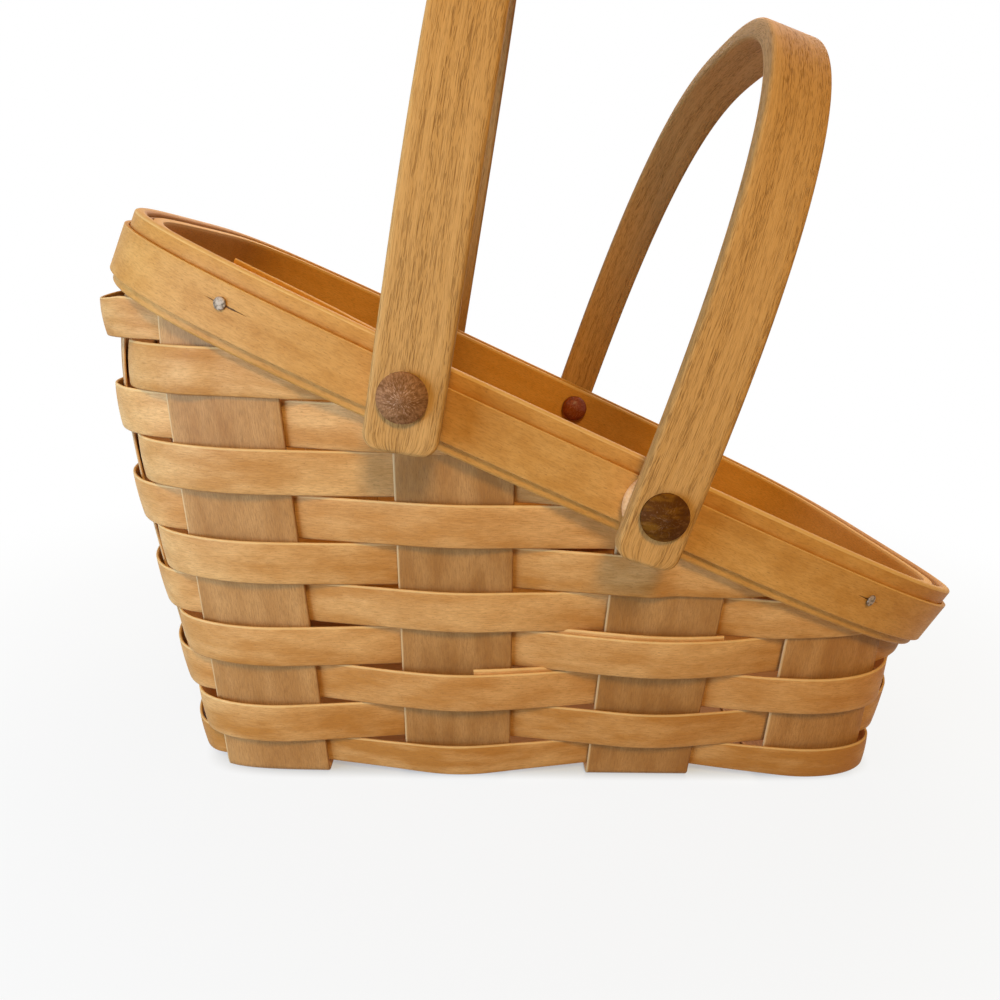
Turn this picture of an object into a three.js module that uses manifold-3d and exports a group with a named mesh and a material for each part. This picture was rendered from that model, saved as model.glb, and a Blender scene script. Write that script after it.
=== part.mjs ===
// A slant-topped basket woven from wooden splints, with two swinging handles on wooden rivets.
// Millimetres, +Z up. The origin is on the table under the middle of the basket.
// The tall end is at -X, the low end at +X, the front at -Y and the back at +Y.

import * as THREE from "three";
import { mergeVertices } from "three/addons/utils/BufferGeometryUtils.js";
import Module from "manifold-3d";

const wasm = await Module();
wasm.setup();

// Clearances
const SPLINT_CLEARANCE = 0.3; // between a weaver and the stake that it passes
const RIM_CLEARANCE = 0.25; // between the weave and the bands that clamp it
const SEAT_CLEARANCE = 0.15; // between a piece and what it is fastened against
const PIVOT_CLEARANCE = 0.1; // between a rivet's shank and the handle that turns on it

// Splints of the weave
const STAKE_WIDTH = 32;
const STAKE_THICKNESS = 0.8;
const CROSS_FEET = [-0.772, -0.251, 0.271, 0.779]; // stakes from front to back, on half the base's length
const CROSS_HEADS = [-0.745, -0.2455, 0.241, 0.6515]; // the same stakes, on half the rim's length
const LONG_FEET = [-0.583, 0, 0.583]; // stakes from end to end, on half the base's width
const LONG_HEADS = [-0.534, 0, 0.534]; // the same stakes, on half the rim's width at the tall end
const STAKE_BEND = 2.5; // radius of the crease where a stake turns up into the wall
const STAKE_TUCK = 1.5; // how far the stakes end below the top edge of the rim
const WEAVER_WIDTH = 12.7;
const WEAVER_THICKNESS = 0.8;
const WEAVER_ROWS = 11;
const ROW_GAP = 0.4;
const FIRST_ROW_HEIGHT = 0.4; // bottom of the rows' pitch above the table
const FIRST_ROW_INSET = 2; // how much narrower the first row is, at its lower edge
const FIRST_ROW_LIFT = 1.8; // how far that edge rises where it passes inside, over the crease
const WEAVE_TUCK = 0.8; // how far cut rows run up behind the rim
const PRESS_REACH = 4; // how far below the rim it starts to press a row flat
const CUT_STUB = 2; // width of the tapered end of a cut row
const LAP_STATIONS = [9, 8, 1, 2]; // stake over which each whole ring laps its own ends, from row one
const LOOSE_TOP = 4.2; // how far the last row's upper edge stands off at the front corner of the tall end
const LOOSE_FOOT = 1.4; // how far its lower edge does
const LOOSE_DROP = 2.2; // how far its upper edge is cut down there
const LOOSE_BACK = 0.75; // middle of that stretch before the first stake, in steps from stake to stake
const LOOSE_REACH = 0.4; // half of that stretch, in the same steps

// Base and rim outlines, both measured at the middle of the wall
const BASE_HALF_LENGTH = 107.3;
const BASE_HALF_WIDTH = 72;
const BASE_SQUARENESS = 11;
const RIM_HALF_LENGTH = 135.7;
const RIM_HALF_WIDTH = 87.5;
const RIM_SQUARENESS = 4.1;
const RIM_HEIGHT = 103.6; // middle of the rim above the table
const RIM_SHIFT = 1.1; // middle of the rim from the middle of the base, towards the low end
const RIM_TILT = THREE.MathUtils.degToRad(23.4);
const RIM_FLARE = 0.17; // how far the bands draw in at the low end, a millimetre down from their top
const FLARE_START = 0.5; // cosine of the angle round the rim from which they do
const TALL_END_BELLY = 8.5; // how far the tall end swells out between base and rim
const BELLY_POWER = 6; // power of height by which the belly turns in again below the rim

// Rim bands
const OUTER_BAND_WIDTH = 20;
const OUTER_BAND_THICKNESS = 2.4;
const TRIM_WIDTH = 13.1;
const TRIM_DROP = 1.3; // middle of the trim below the middle of the outer band
const TRIM_THICKNESS = 1.3;
const INNER_BAND_WIDTH = 18.4;
const INNER_BAND_THICKNESS = 1.8;

// Handles
const TALL_HANDLE_WIDTH = 18.4;
const LOW_HANDLE_WIDTH = 16.6;
const TALL_HANDLE_OFFSET = 0.9; // middle of the tall handle's width beyond its rivets, towards the low end
const HANDLE_THICKNESS = 5.8;
const HANDLE_EDGE = 0.8; // eased edge
const HANDLE_RISE = 132; // arch above the pivots, to its underside
const HANDLE_SQUARENESS = 2.65;
const HANDLE_TAIL = 13.6; // leg below the pivot
const HANDLE_TAIL_CORNER = 4.2;
const TALL_PIVOT_SHARE = -0.33724; // place of a handle's rivets along the rim, on half its length
const LOW_PIVOT_SHARE = 0.17665;
const TALL_HANDLE_LEAN = THREE.MathUtils.degToRad(8.4);
const LOW_HANDLE_LEAN = THREE.MathUtils.degToRad(17.1);

// Turned pieces and tacks
const SHANK_RADIUS = 3;
const RIVET_HEAD_RADIUS = 6.1;
const RIVET_HEAD_HEIGHT = 4.4;
const RIVET_HEAD_EDGE = 1.4; // straight side of the head under its cone
const SPACER_RADIUS = 9;
const SPACER_THICKNESS = 4.6;
const SPACER_ROUND = 1.8;
const CAP_RADIUS = 5.8;
const CAP_HEIGHT = 5.5;
const CAP_WALL = 2; // wood left over the end of the shank
const TACK_HEAD_RADIUS = 1.65;
const TACK_HEAD_HEIGHT = 0.6;
const TACK_SHANK_RADIUS = 0.6;
const TACK_SHARES = [-0.6964, 0.678]; // tacks along the rim, on half its length

// Faceting
const STATION_STEPS = 6; // strip sections from one stake to the next, a multiple of three
const WALL_STEPS = 7; // sections of a stake below the rim
const WALL_CROWDING = 1.7; // power by which those sections crowd towards the rim
const BEND_STEPS = 2;
const TUCK_STEPS = 2; // sections of a stake behind the rim
const RIM_STEPS = 52;
const ARCH_STEPS = 16;
const ROUND_SIDES = 14;
const TACK_SIDES = 8;

// Colours
const STAKE_COLOUR = 0xb98d62;
const WEAVER_COLOURS = [0xcb9a66, 0xc99159, 0xd0975f, 0xc58e57];
const BAND_COLOUR = 0xc48a4c;
const HANDLE_COLOUR = 0xc5935b;
const RIVET_COLOUR = 0x71432f;
const SPACER_COLOUR = 0xd2935c;
const CAP_COLOUR = 0x63210c;
const TACK_COLOUR = 0xb0afa6;

// Skins a run of rings of corner points into one closed body, and turns its faces outwards.
function loft(rings, closed = false) {
  const corners = rings[0].length;
  const spans = closed ? rings.length : rings.length - 1;
  const index = [];
  const quad = (a, b, c, d) => index.push(a, b, c, a, c, d);
  for (let i = 0; i < spans; i++) {
    const here = i * corners;
    const next = ((i + 1) % rings.length) * corners;
    for (let j = 0; j < corners; j++) {
      const k = (j + 1) % corners;
      quad(here + j, here + k, next + k, next + j);
    }
  }
  if (!closed) {
    const last = (rings.length - 1) * corners;
    for (let j = 0; j < corners / 2 - 1; j++) {
      const k = corners - 1 - j;
      quad(k, k - 1, j + 1, j);
      quad(last + j, last + j + 1, last + k - 1, last + k);
    }
  }
  const points = rings.flat();
  const geometry = new THREE.BufferGeometry().setFromPoints(points).setIndex(index);
  let volume = 0;
  for (let i = 0; i < index.length; i += 3) {
    const [a, b, c] = index.slice(i, i + 3).map((k) => points[k]);
    volume += a.dot(new THREE.Vector3().crossVectors(b, c));
  }
  if (volume < 0) index.reverse();
  return geometry.setIndex(index);
}

// A geometry as a solid that can be cut, and back again.
function toSolid(geometry) {
  const bare = geometry.clone();
  bare.deleteAttribute("normal");
  bare.deleteAttribute("uv");
  const merged = mergeVertices(bare, 1e-4);
  const vertProperties = merged.attributes.position.array;
  const triVerts = new Uint32Array(merged.index.array);
  return new wasm.Manifold(new wasm.Mesh({ numProp: 3, vertProperties, triVerts }));
}

function toGeometry(body) {
  const mesh = body.getMesh();
  const geometry = new THREE.BufferGeometry();
  geometry.setAttribute("position", new THREE.BufferAttribute(mesh.vertProperties, 3));
  return geometry.setIndex(new THREE.BufferAttribute(mesh.triVerts, 1));
}

function drill(geometry, tools) {
  return toGeometry(tools.reduce((body, tool) => body.subtract(toSolid(tool)), toSolid(geometry)));
}

// Radius of a faceted hole that leaves a round clearance at the middle of its flats.
function holeRadius(radius, clearance, sides = ROUND_SIDES) {
  return (radius + clearance) / Math.cos(Math.PI / sides);
}

// A squared oval: its point at a polar angle, and its outward normal there.
function ovalPoint(angle, halfLength, halfWidth, squareness) {
  const c = Math.cos(angle);
  const s = Math.sin(angle);
  const sum = Math.abs(c / halfLength) ** squareness + Math.abs(s / halfWidth) ** squareness;
  const radius = sum ** (-1 / squareness);
  return new THREE.Vector2(radius * c, radius * s);
}

function ovalNormal(point, halfLength, halfWidth, squareness) {
  const part = (value, half) => (Math.sign(value) * Math.abs(value / half) ** (squareness - 1)) / half;
  return new THREE.Vector2(part(point.x, halfLength), part(point.y, halfWidth)).normalize();
}

// The rim is a hoop square to a slanted plane.
const rimCentre = new THREE.Vector3(RIM_SHIFT, 0, RIM_HEIGHT);
const downRim = new THREE.Vector3(Math.cos(RIM_TILT), 0, -Math.sin(RIM_TILT));
const acrossRim = new THREE.Vector3(0, 1, 0);
const squareToRim = new THREE.Vector3(Math.sin(RIM_TILT), 0, Math.cos(RIM_TILT));

function rimDirection(flat) {
  return new THREE.Vector3().addScaledVector(downRim, flat.x).addScaledVector(acrossRim, flat.y);
}

// Point of the rim at an angle, some way out from the wall's middle and up from the rim's middle line.
function rimPoint(angle, outward, up) {
  const flat = ovalPoint(angle, RIM_HALF_LENGTH, RIM_HALF_WIDTH, RIM_SQUARENESS);
  const normal = ovalNormal(flat, RIM_HALF_LENGTH, RIM_HALF_WIDTH, RIM_SQUARENESS);
  const flareShare = Math.max(0, Math.cos(angle) - FLARE_START) / (1 - FLARE_START);
  const flare = RIM_FLARE * (up - OUTER_BAND_WIDTH / 2) * flareShare ** 2;
  const place = rimDirection(flat.addScaledVector(normal, outward + flare));
  return place.add(rimCentre).addScaledVector(squareToRim, up);
}

// Lower edge of the rim, where the free wall ends.
function rimFoot(angle) {
  return rimPoint(angle, 0, -OUTER_BAND_WIDTH / 2);
}

// The wall is ruled from the base outline to the foot of the rim, with a belly at the tall end,
// and goes on along the rim behind the bands.
const bellyShape = (share) => share - share ** BELLY_POWER;
const bellyPeak = bellyShape(BELLY_POWER ** (1 / (1 - BELLY_POWER)));

function wallPoint(angle, height) {
  const foot = rimFoot(angle);
  if (height > foot.z) {
    const top = rimPoint(angle, 0, OUTER_BAND_WIDTH / 2);
    return foot.clone().lerp(top, (height - foot.z) / (top.z - foot.z));
  }
  const base = ovalPoint(angle, BASE_HALF_LENGTH, BASE_HALF_WIDTH, BASE_SQUARENESS);
  const share = height / foot.z;
  const belly = ((TALL_END_BELLY * bellyShape(share)) / bellyPeak) * Math.max(0, -Math.cos(angle));
  const x = THREE.MathUtils.lerp(base.x, foot.x, share) - belly;
  return new THREE.Vector3(x, THREE.MathUtils.lerp(base.y, foot.y, share), height);
}

function wallNormal(angle, height) {
  const turn = 1e-3;
  const rise = 0.5;
  const along = wallPoint(angle + turn, height).sub(wallPoint(angle - turn, height));
  const up = wallPoint(angle, height + rise).sub(wallPoint(angle, height - rise));
  return along.cross(up).normalize();
}

// Angle, between two limits, at which the wall reaches a coordinate at some height.
function wallAngle(axis, target, height, low, high) {
  const rising = wallPoint(high, height)[axis] > wallPoint(low, height)[axis];
  for (let i = 0; i < 40; i++) {
    const middle = (low + high) / 2;
    if (wallPoint(middle, height)[axis] < target === rising) low = middle;
    else high = middle;
  }
  return (low + high) / 2;
}

const frontAngle = (x, height) => wallAngle("x", x, height, Math.PI, 2 * Math.PI);
const backAngle = (x, height) => wallAngle("x", x, height, 2 * Math.PI, 3 * Math.PI);
const lowEndAngle = (y, height) => wallAngle("y", y, height, 1.5 * Math.PI, 2.5 * Math.PI);
const tallEndAngle = (y, height) => wallAngle("y", y, height, 2.5 * Math.PI, 3.5 * Math.PI);

// Stakes by their foot on the base and their head on the rim, as a place that moves along as they rise.
const risingStake = (foot, head, rise) => (height) => THREE.MathUtils.lerp(foot, head, height / rise);
const crossStakes = CROSS_FEET.map((share, i) => {
  const head = rimCentre.clone().addScaledVector(downRim, CROSS_HEADS[i] * RIM_HALF_LENGTH);
  return risingStake(share * BASE_HALF_LENGTH, head.x, head.z);
});
const tallEnd = rimCentre.clone().addScaledVector(downRim, -RIM_HALF_LENGTH);
const longStakes = LONG_FEET.map((share, i) =>
  risingStake(share * BASE_HALF_WIDTH, LONG_HEADS[i] * RIM_HALF_WIDTH, tallEnd.z),
);
const STATIONS = 2 * (crossStakes.length + longStakes.length);

// Wall angles of each stake's first edge, middle and last edge at one height, in order round the wall:
// front, low end, back and tall end.
const MARKS = 3;
function stakeMarks(height) {
  const across = (angle, way) => (stake) => {
    const edge = (side) => stake(height) + way * side * (STAKE_WIDTH / 2 + SPLINT_CLEARANCE);
    return [-1, 0, 1].map((side) => angle(edge(side), height));
  };
  return [
    ...crossStakes.flatMap(across(frontAngle, 1)),
    ...longStakes.flatMap(across(lowEndAngle, 1)),
    ...crossStakes.toReversed().flatMap(across(backAngle, -1)),
    ...longStakes.toReversed().flatMap(across(tallEndAngle, -1)),
  ];
}

// Layers of the rim, counted outwards and inwards from the middle of the wall.
const hug = (STAKE_THICKNESS + WEAVER_THICKNESS) / 2 + SPLINT_CLEARANCE;
const wallHalf = hug + WEAVER_THICKNESS / 2;
const outerBandInside = wallHalf + RIM_CLEARANCE;
const outerBandOutside = outerBandInside + OUTER_BAND_THICKNESS;
const trimInside = outerBandOutside + SEAT_CLEARANCE;
const trimOutside = trimInside + TRIM_THICKNESS;
const innerBandOutside = -wallHalf - RIM_CLEARANCE;
const innerBandInside = innerBandOutside - INNER_BAND_THICKNESS;

// Rivet axes run from front to back on the middle line of the rim.
const pivotAt = (share) => rimCentre.clone().addScaledVector(downRim, share * RIM_HALF_LENGTH);
const tallPivot = pivotAt(TALL_PIVOT_SHARE);
const lowPivot = pivotAt(LOW_PIVOT_SHARE);

function crossRod(pivot, radius, reach) {
  const rod = new THREE.CylinderGeometry(radius, radius, 2 * reach, ROUND_SIDES);
  return rod.translate(pivot.x, pivot.y, pivot.z);
}

const shankHole = holeRadius(SHANK_RADIUS, SEAT_CLEARANCE);
const rimReach = RIM_HALF_WIDTH + 2 * trimOutside;
const rivetDrills = [tallPivot, lowPivot].map((pivot) => crossRod(pivot, shankHole, rimReach));

const basket = new THREE.Group();

function addPiece(parent, name, geometry, color, roughness, metalness = 0) {
  const mesh = new THREE.Mesh(geometry, new THREE.MeshStandardMaterial({ color, roughness, metalness }));
  mesh.name = name;
  parent.add(mesh);
}

// Stakes: each goes down one wall, across the base and up the opposite wall.

// One line of a stake on a wall, from its top edge down to its crease, as points with outward normals.
function stakeOnWall(angleAt, creaseHeight) {
  const footHeight = (rise) => {
    let height = RIM_HEIGHT;
    for (let i = 0; i < 12; i++) height = rimPoint(angleAt(height), 0, rise - OUTER_BAND_WIDTH / 2).z;
    return height;
  };
  const foot = footHeight(0);
  const heights = [];
  for (let i = TUCK_STEPS; i > 0; i--) {
    heights.push(footHeight(((OUTER_BAND_WIDTH - STAKE_TUCK) * i) / TUCK_STEPS));
  }
  for (let i = 0; i <= WALL_STEPS; i++) {
    heights.push(THREE.MathUtils.lerp(foot, creaseHeight, (i / WALL_STEPS) ** WALL_CROWDING));
  }
  return heights.map((height) => {
    const angle = angleAt(height);
    return { point: wallPoint(angle, height), normal: wallNormal(angle, height) };
  });
}

// The crease at the foot of a wall: a quarter turn from upright to flat.
function stakeCrease(wallEnd, outward) {
  const down = new THREE.Vector3(0, 0, -1);
  const centre = wallEnd.clone().addScaledVector(outward, -STAKE_BEND);
  return Array.from({ length: BEND_STEPS }, (_, i) => {
    const turn = ((i + 1) / BEND_STEPS) * (Math.PI / 2);
    const normal = outward.clone().multiplyScalar(Math.cos(turn)).addScaledVector(down, Math.sin(turn));
    return { point: centre.clone().addScaledVector(normal, STAKE_BEND), normal };
  });
}

// Joins the lines along a stake, from edge to edge, into a splint.
function splint(lines, thickness) {
  const rings = lines[0].map((_, i) => {
    const face = (side) => lines.map((line) => line[i].point.clone().addScaledVector(line[i].normal, side));
    return [...face(thickness / 2), ...face(-thickness / 2).reverse()];
  });
  return loft(rings);
}

// Places of those lines across a stake. The stakes beside the corners bend, so they have more lines.
function stakeLines(stakes, i) {
  const shares = i === 0 || i === stakes.length - 1 ? [-1, -0.5, 0, 0.5, 1] : [-1, 0, 1];
  return shares.map((share) => (share * STAKE_WIDTH) / 2);
}

const baseStep = STAKE_THICKNESS + SPLINT_CLEARANCE;
const lowLevel = STAKE_THICKNESS / 2;
const longLevel = lowLevel + baseStep;
const highLevel = longLevel + baseStep;
const flatHalf = STAKE_WIDTH / 2 + 2 * SPLINT_CLEARANCE;

// A cross stake dips under and climbs over the long stakes in turn, so its base is a row of flats.
function crossStake(order) {
  const stake = crossStakes[order];
  const level = (row) => ((order + row) % 2 === 0 ? lowLevel : highLevel);
  const front = new THREE.Vector3(0, -1, 0);
  const down = new THREE.Vector3(0, 0, -1);
  const lastRow = longStakes.length - 1;
  const lines = stakeLines(crossStakes, order).map((edge) => {
    const angleAt = (height) => frontAngle(stake(height) + edge, height);
    const wallAt = (row) => {
      const wall = stakeOnWall(angleAt, level(row) + STAKE_BEND);
      return [...wall, ...stakeCrease(wall.at(-1).point, front)];
    };
    const mirrored = ({ point, normal }) => ({
      point: new THREE.Vector3(point.x, -point.y, point.z),
      normal: new THREE.Vector3(normal.x, -normal.y, normal.z),
    });
    const base = longStakes.flatMap((crossing, row) => {
      const ends = [];
      if (row > 0) ends.push(crossing(0) - flatHalf);
      if (row < lastRow) ends.push(crossing(0) + flatHalf);
      const x = stake(0) + edge;
      return ends.map((end) => ({ point: new THREE.Vector3(x, end, level(row)), normal: down }));
    });
    return [...wallAt(0), ...base, ...wallAt(lastRow).map(mirrored).reverse()];
  });
  return splint(lines, STAKE_THICKNESS);
}

// A long stake lies flat between the cross stakes.
function longStake(order) {
  const stake = longStakes[order];
  const lines = stakeLines(longStakes, order).map((edge) => {
    const end = (angle, outward) => {
      const angleAt = (height) => angle(stake(height) + edge, height);
      const wall = stakeOnWall(angleAt, longLevel + STAKE_BEND);
      return [...wall, ...stakeCrease(wall.at(-1).point, outward)];
    };
    const tall = end(tallEndAngle, new THREE.Vector3(-1, 0, 0));
    const low = end(lowEndAngle, new THREE.Vector3(1, 0, 0));
    return [...tall, ...low.reverse()];
  });
  return splint(lines, STAKE_THICKNESS);
}

crossStakes.forEach((stake, i) => {
  const onStake = rivetDrills.filter((_, k) => {
    const pivot = [tallPivot, lowPivot][k];
    return Math.abs(pivot.x - stake(pivot.z)) < STAKE_WIDTH / 2 + shankHole;
  });
  const strip = onStake.length ? drill(crossStake(i), onStake) : crossStake(i);
  addPiece(basket, `cross_stake_${i + 1}`, strip, STAKE_COLOUR, 0.55);
});
const longNames = ["front", "middle", "back"];
longNames.forEach((name, i) => addPiece(basket, `long_stake_${name}`, longStake(i), STAKE_COLOUR, 0.55));

// Weavers: each row is one strip that passes outside and inside the stakes in turn.
// A place along a row is counted in stations: whole at a stake's middle, and a third off at its edges.
const waveHeight = hug / Math.cos(Math.PI / MARKS);

function weaver(row) {
  const pitch = WEAVER_WIDTH + ROW_GAP;
  const bottom = FIRST_ROW_HEIGHT + (row - 1) * pitch;
  const top = bottom + WEAVER_WIDTH;
  const marks = stakeMarks((bottom + top) / 2);

  const angleOf = (station) => {
    const place = MARKS * station + 1;
    const from = Math.floor(place);
    const mark = (i) => {
      const turns = Math.floor(i / marks.length);
      return marks[i - turns * marks.length] + turns * 2 * Math.PI;
    };
    return THREE.MathUtils.lerp(mark(from), mark(from + 1), place - from);
  };

  const cutHeight = (station) => rimFoot(angleOf(station)).z + WEAVE_TUCK * squareToRim.z;
  const room = (station) => cutHeight(station) - bottom - CUT_STUB;
  const lowMiddle = crossStakes.length + (longStakes.length - 1) / 2;
  const tallMiddle = lowMiddle + STATIONS / 2;
  if (room(tallMiddle) <= 0) return null;

  // A row that fits below the whole rim laps its ends; a cut row ends behind the rim at front and back.
  const whole = room(lowMiddle) > 0;
  const lap = LAP_STATIONS[(row - 1) % LAP_STATIONS.length];
  let start;
  let end;
  if (whole) {
    start = lap - 1;
    end = lap + STATIONS + 1;
  } else {
    let low = tallMiddle;
    let high = tallMiddle + STATIONS / 2;
    for (let i = 0; i < 40; i++) {
      const middle = (low + high) / 2;
      if (room(middle) > 0) low = middle;
      else high = middle;
    }
    end = low;
    start = 2 * tallMiddle - end;
  }
  // Both ends of a lap are hidden behind the stakes beside the one that they pass over together.
  const lapShift = (station) => {
    if (!whole) return 0;
    const step = WEAVER_THICKNESS + SPLINT_CLEARANCE;
    const edge = 1 / MARKS;
    const over = (away) => 1 - THREE.MathUtils.smoothstep(Math.abs(away), edge, 2 * edge);
    const upperAway = station - lap - STATIONS;
    if (upperAway > -1) return step * over(upperAway);
    const lowerAway = station - lap;
    if (lowerAway < 1) return step * (over(lowerAway) - 1);
    return step * (THREE.MathUtils.smoothstep(lowerAway, 1, 1 + edge) - 1);
  };

  // The last row's corner has come loose from the rim.
  const loose = (station) => {
    if (row < WEAVER_ROWS) return 0;
    const away = (station - (STATIONS - LOOSE_BACK)) / LOOSE_REACH;
    return Math.max(0, 1 - away ** 2) ** 2;
  };

  const places = [start];
  const firstStep = Math.floor(start * STATION_STEPS) + 1;
  for (let i = firstStep; i < end * STATION_STEPS; i++) places.push(i / STATION_STEPS);
  places.push(end);
  const rings = places.map((station) => {
    const angle = angleOf(station);
    const phase = Math.cos(Math.PI * (station + row));
    const upper = Math.min(top, cutHeight(station)) - LOOSE_DROP * loose(station);
    const firstRise = FIRST_ROW_INSET + (FIRST_ROW_LIFT * (1 - phase)) / 2;
    const lower = row === 1 ? bottom + firstRise : bottom;
    // The rim presses the strip flat on the stakes as it nears the band.
    const foot = rimFoot(angle).z;
    const pressed = THREE.MathUtils.smoothstep(upper, foot - PRESS_REACH, foot);
    const free = waveHeight * phase;
    const held = THREE.MathUtils.clamp(free, -hug, hug);
    const middle = THREE.MathUtils.lerp(free, held, pressed) + lapShift(station);
    const edge = (height, standOff) => {
      const outward = wallNormal(angle, height).setZ(0).normalize();
      const place = wallPoint(angle, height).addScaledVector(outward, middle + standOff * loose(station));
      const face = (side) => place.clone().addScaledVector(outward, (side * WEAVER_THICKNESS) / 2);
      return [face(-1), face(1)];
    };
    return [...edge(lower, LOOSE_FOOT), ...edge(upper, LOOSE_TOP).reverse()];
  });
  return loft(rings);
}

for (let row = 1; row <= WEAVER_ROWS; row++) {
  const strip = weaver(row);
  const colour = WEAVER_COLOURS[row % WEAVER_COLOURS.length];
  if (strip) addPiece(basket, `weaver_row_${String(row).padStart(2, "0")}`, strip, colour, 0.5);
}

// Rim: an outer band with a narrower trim strip over it, and an inner band, with the wall clamped between.
// The steps of a hoop crowd towards its corners, where it curves most.
function rimStepAngle(i) {
  const turn = (i / RIM_STEPS) * 2 * Math.PI;
  const bowed = (value) => Math.sign(value) * Math.abs(value) ** (2 / RIM_SQUARENESS);
  return Math.atan2(RIM_HALF_WIDTH * bowed(Math.sin(turn)), RIM_HALF_LENGTH * bowed(Math.cos(turn)));
}

function hoop(inside, outside, width, drop = 0) {
  const top = width / 2 - drop;
  const bottom = -width / 2 - drop;
  const rings = Array.from({ length: RIM_STEPS }, (_, i) => {
    const angle = rimStepAngle(i);
    return [
      rimPoint(angle, inside, bottom),
      rimPoint(angle, outside, bottom),
      rimPoint(angle, outside, top),
      rimPoint(angle, inside, top),
    ];
  });
  return loft(rings, true);
}

// Rim angle at a place along the front of the rim, counted down the slope from its middle.
function rimRunAngle(run) {
  const share = Math.abs(run / RIM_HALF_LENGTH) ** RIM_SQUARENESS;
  return Math.atan2(-RIM_HALF_WIDTH * (1 - share) ** (1 / RIM_SQUARENESS), run);
}

// A tack's frame: its head faces out of the trim, and its shank ends inside the outer band.
function tackFrame(run, side) {
  const angle = side * rimRunAngle(run);
  const seat = rimPoint(angle, trimOutside + SEAT_CLEARANCE, 0);
  const out = seat.clone().sub(rimPoint(angle, outerBandInside, 0)).normalize();
  const turn = new THREE.Quaternion().setFromUnitVectors(new THREE.Vector3(0, 1, 0), out);
  return { seat, turn };
}

const tackDepth = trimOutside - outerBandInside;

function tackDrill(run, side) {
  const radius = holeRadius(TACK_SHANK_RADIUS, SEAT_CLEARANCE, TACK_SIDES);
  const { seat, turn } = tackFrame(run, side);
  const rod = new THREE.CylinderGeometry(radius, radius, 4 * tackDepth, TACK_SIDES);
  return rod.applyQuaternion(turn).translate(seat.x, seat.y, seat.z);
}

const sides = { front: 1, back: -1 };
const ends = { tall: 0, low: 1 };
const tackRuns = TACK_SHARES.map((share) => share * RIM_HALF_LENGTH);
const tackDrills = Object.values(sides).flatMap((side) => tackRuns.map((run) => tackDrill(run, side)));

const outerBand = hoop(outerBandInside, outerBandOutside, OUTER_BAND_WIDTH);
addPiece(basket, "outer_band", drill(outerBand, [...rivetDrills, ...tackDrills]), BAND_COLOUR, 0.5);
const trim = hoop(trimInside, trimOutside, TRIM_WIDTH, TRIM_DROP);
addPiece(basket, "trim_strip", drill(trim, [...rivetDrills, ...tackDrills]), BAND_COLOUR, 0.45);
const innerBand = hoop(innerBandInside, innerBandOutside, INNER_BAND_WIDTH);
addPiece(basket, "inner_band", drill(innerBand, rivetDrills), BAND_COLOUR, 0.55);

for (const [sideName, side] of Object.entries(sides)) {
  for (const [endName, end] of Object.entries(ends)) {
    const { seat, turn } = tackFrame(tackRuns[end], side);
    const profile = [
      [0, SEAT_CLEARANCE - tackDepth],
      [TACK_SHANK_RADIUS, SEAT_CLEARANCE - tackDepth],
      [TACK_SHANK_RADIUS, 0],
      [TACK_HEAD_RADIUS, 0],
      [TACK_HEAD_RADIUS, TACK_HEAD_HEIGHT],
      [0, TACK_HEAD_HEIGHT],
    ].map(([x, y]) => new THREE.Vector2(x, y));
    const tack = new THREE.LatheGeometry(profile, TACK_SIDES).applyQuaternion(turn);
    tack.translate(seat.x, seat.y, seat.z);
    addPiece(basket, `tack_${endName}_${sideName}`, tack, TACK_COLOUR, 0.35, 1);
  }
}

// Handles: a bent strip with two straight legs, drilled for the rivets and leaning at rest.
const trimFace = RIM_HALF_WIDTH + trimOutside;
const spacerFace = trimFace + SEAT_CLEARANCE;
const handleInside = spacerFace + SPACER_THICKNESS + SEAT_CLEARANCE;
const handleOutside = handleInside + HANDLE_THICKNESS;

// One cross-section of a handle, square to its path, with eased edges.
function handleRing(centre, outward, halfWidth) {
  const half = HANDLE_THICKNESS / 2;
  const ease = Math.min(HANDLE_EDGE, halfWidth / 2);
  const quarter = [
    [halfWidth - ease, half],
    [halfWidth, half - ease],
  ];
  const corners = [
    ...quarter,
    ...quarter.toReversed().map(([x, d]) => [x, -d]),
    ...quarter.map(([x, d]) => [-x, -d]),
    ...quarter.toReversed().map(([x, d]) => [-x, d]),
  ];
  return corners.map(([x, d]) => centre.clone().addScaledVector(outward, d).add(new THREE.Vector3(x, 0, 0)));
}

function handle(width, offset) {
  const middle = (handleInside + handleOutside) / 2;
  const rise = HANDLE_RISE + HANDLE_THICKNESS / 2;
  const frontOut = new THREE.Vector3(0, -1, 0);
  const tail = [0, 0.06, 0.25, 0.56, 1].map((share) => {
    const drop = share * HANDLE_TAIL_CORNER;
    const across = HANDLE_TAIL_CORNER - drop;
    const inset = HANDLE_TAIL_CORNER - Math.sqrt(HANDLE_TAIL_CORNER ** 2 - across ** 2);
    const centre = new THREE.Vector3(offset, -middle, drop - HANDLE_TAIL);
    return handleRing(centre, frontOut, width / 2 - inset);
  });
  const arch = Array.from({ length: ARCH_STEPS + 1 }, (_, i) => {
    const flat = ovalPoint(Math.PI * (1 - i / ARCH_STEPS), middle, rise, HANDLE_SQUARENESS);
    const normal = ovalNormal(flat, middle, rise, HANDLE_SQUARENESS);
    const centre = new THREE.Vector3(offset, flat.x, flat.y);
    return handleRing(centre, new THREE.Vector3(0, normal.x, normal.y), width / 2);
  });
  const mirrored = (ring) => ring.map((p) => new THREE.Vector3(p.x, -p.y, p.z));
  const strip = loft([...tail, ...arch, ...tail.map(mirrored).reverse()]);
  const bore = holeRadius(SHANK_RADIUS, PIVOT_CLEARANCE);
  return drill(strip, [crossRod(new THREE.Vector3(), bore, 2 * handleOutside)]);
}

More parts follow.
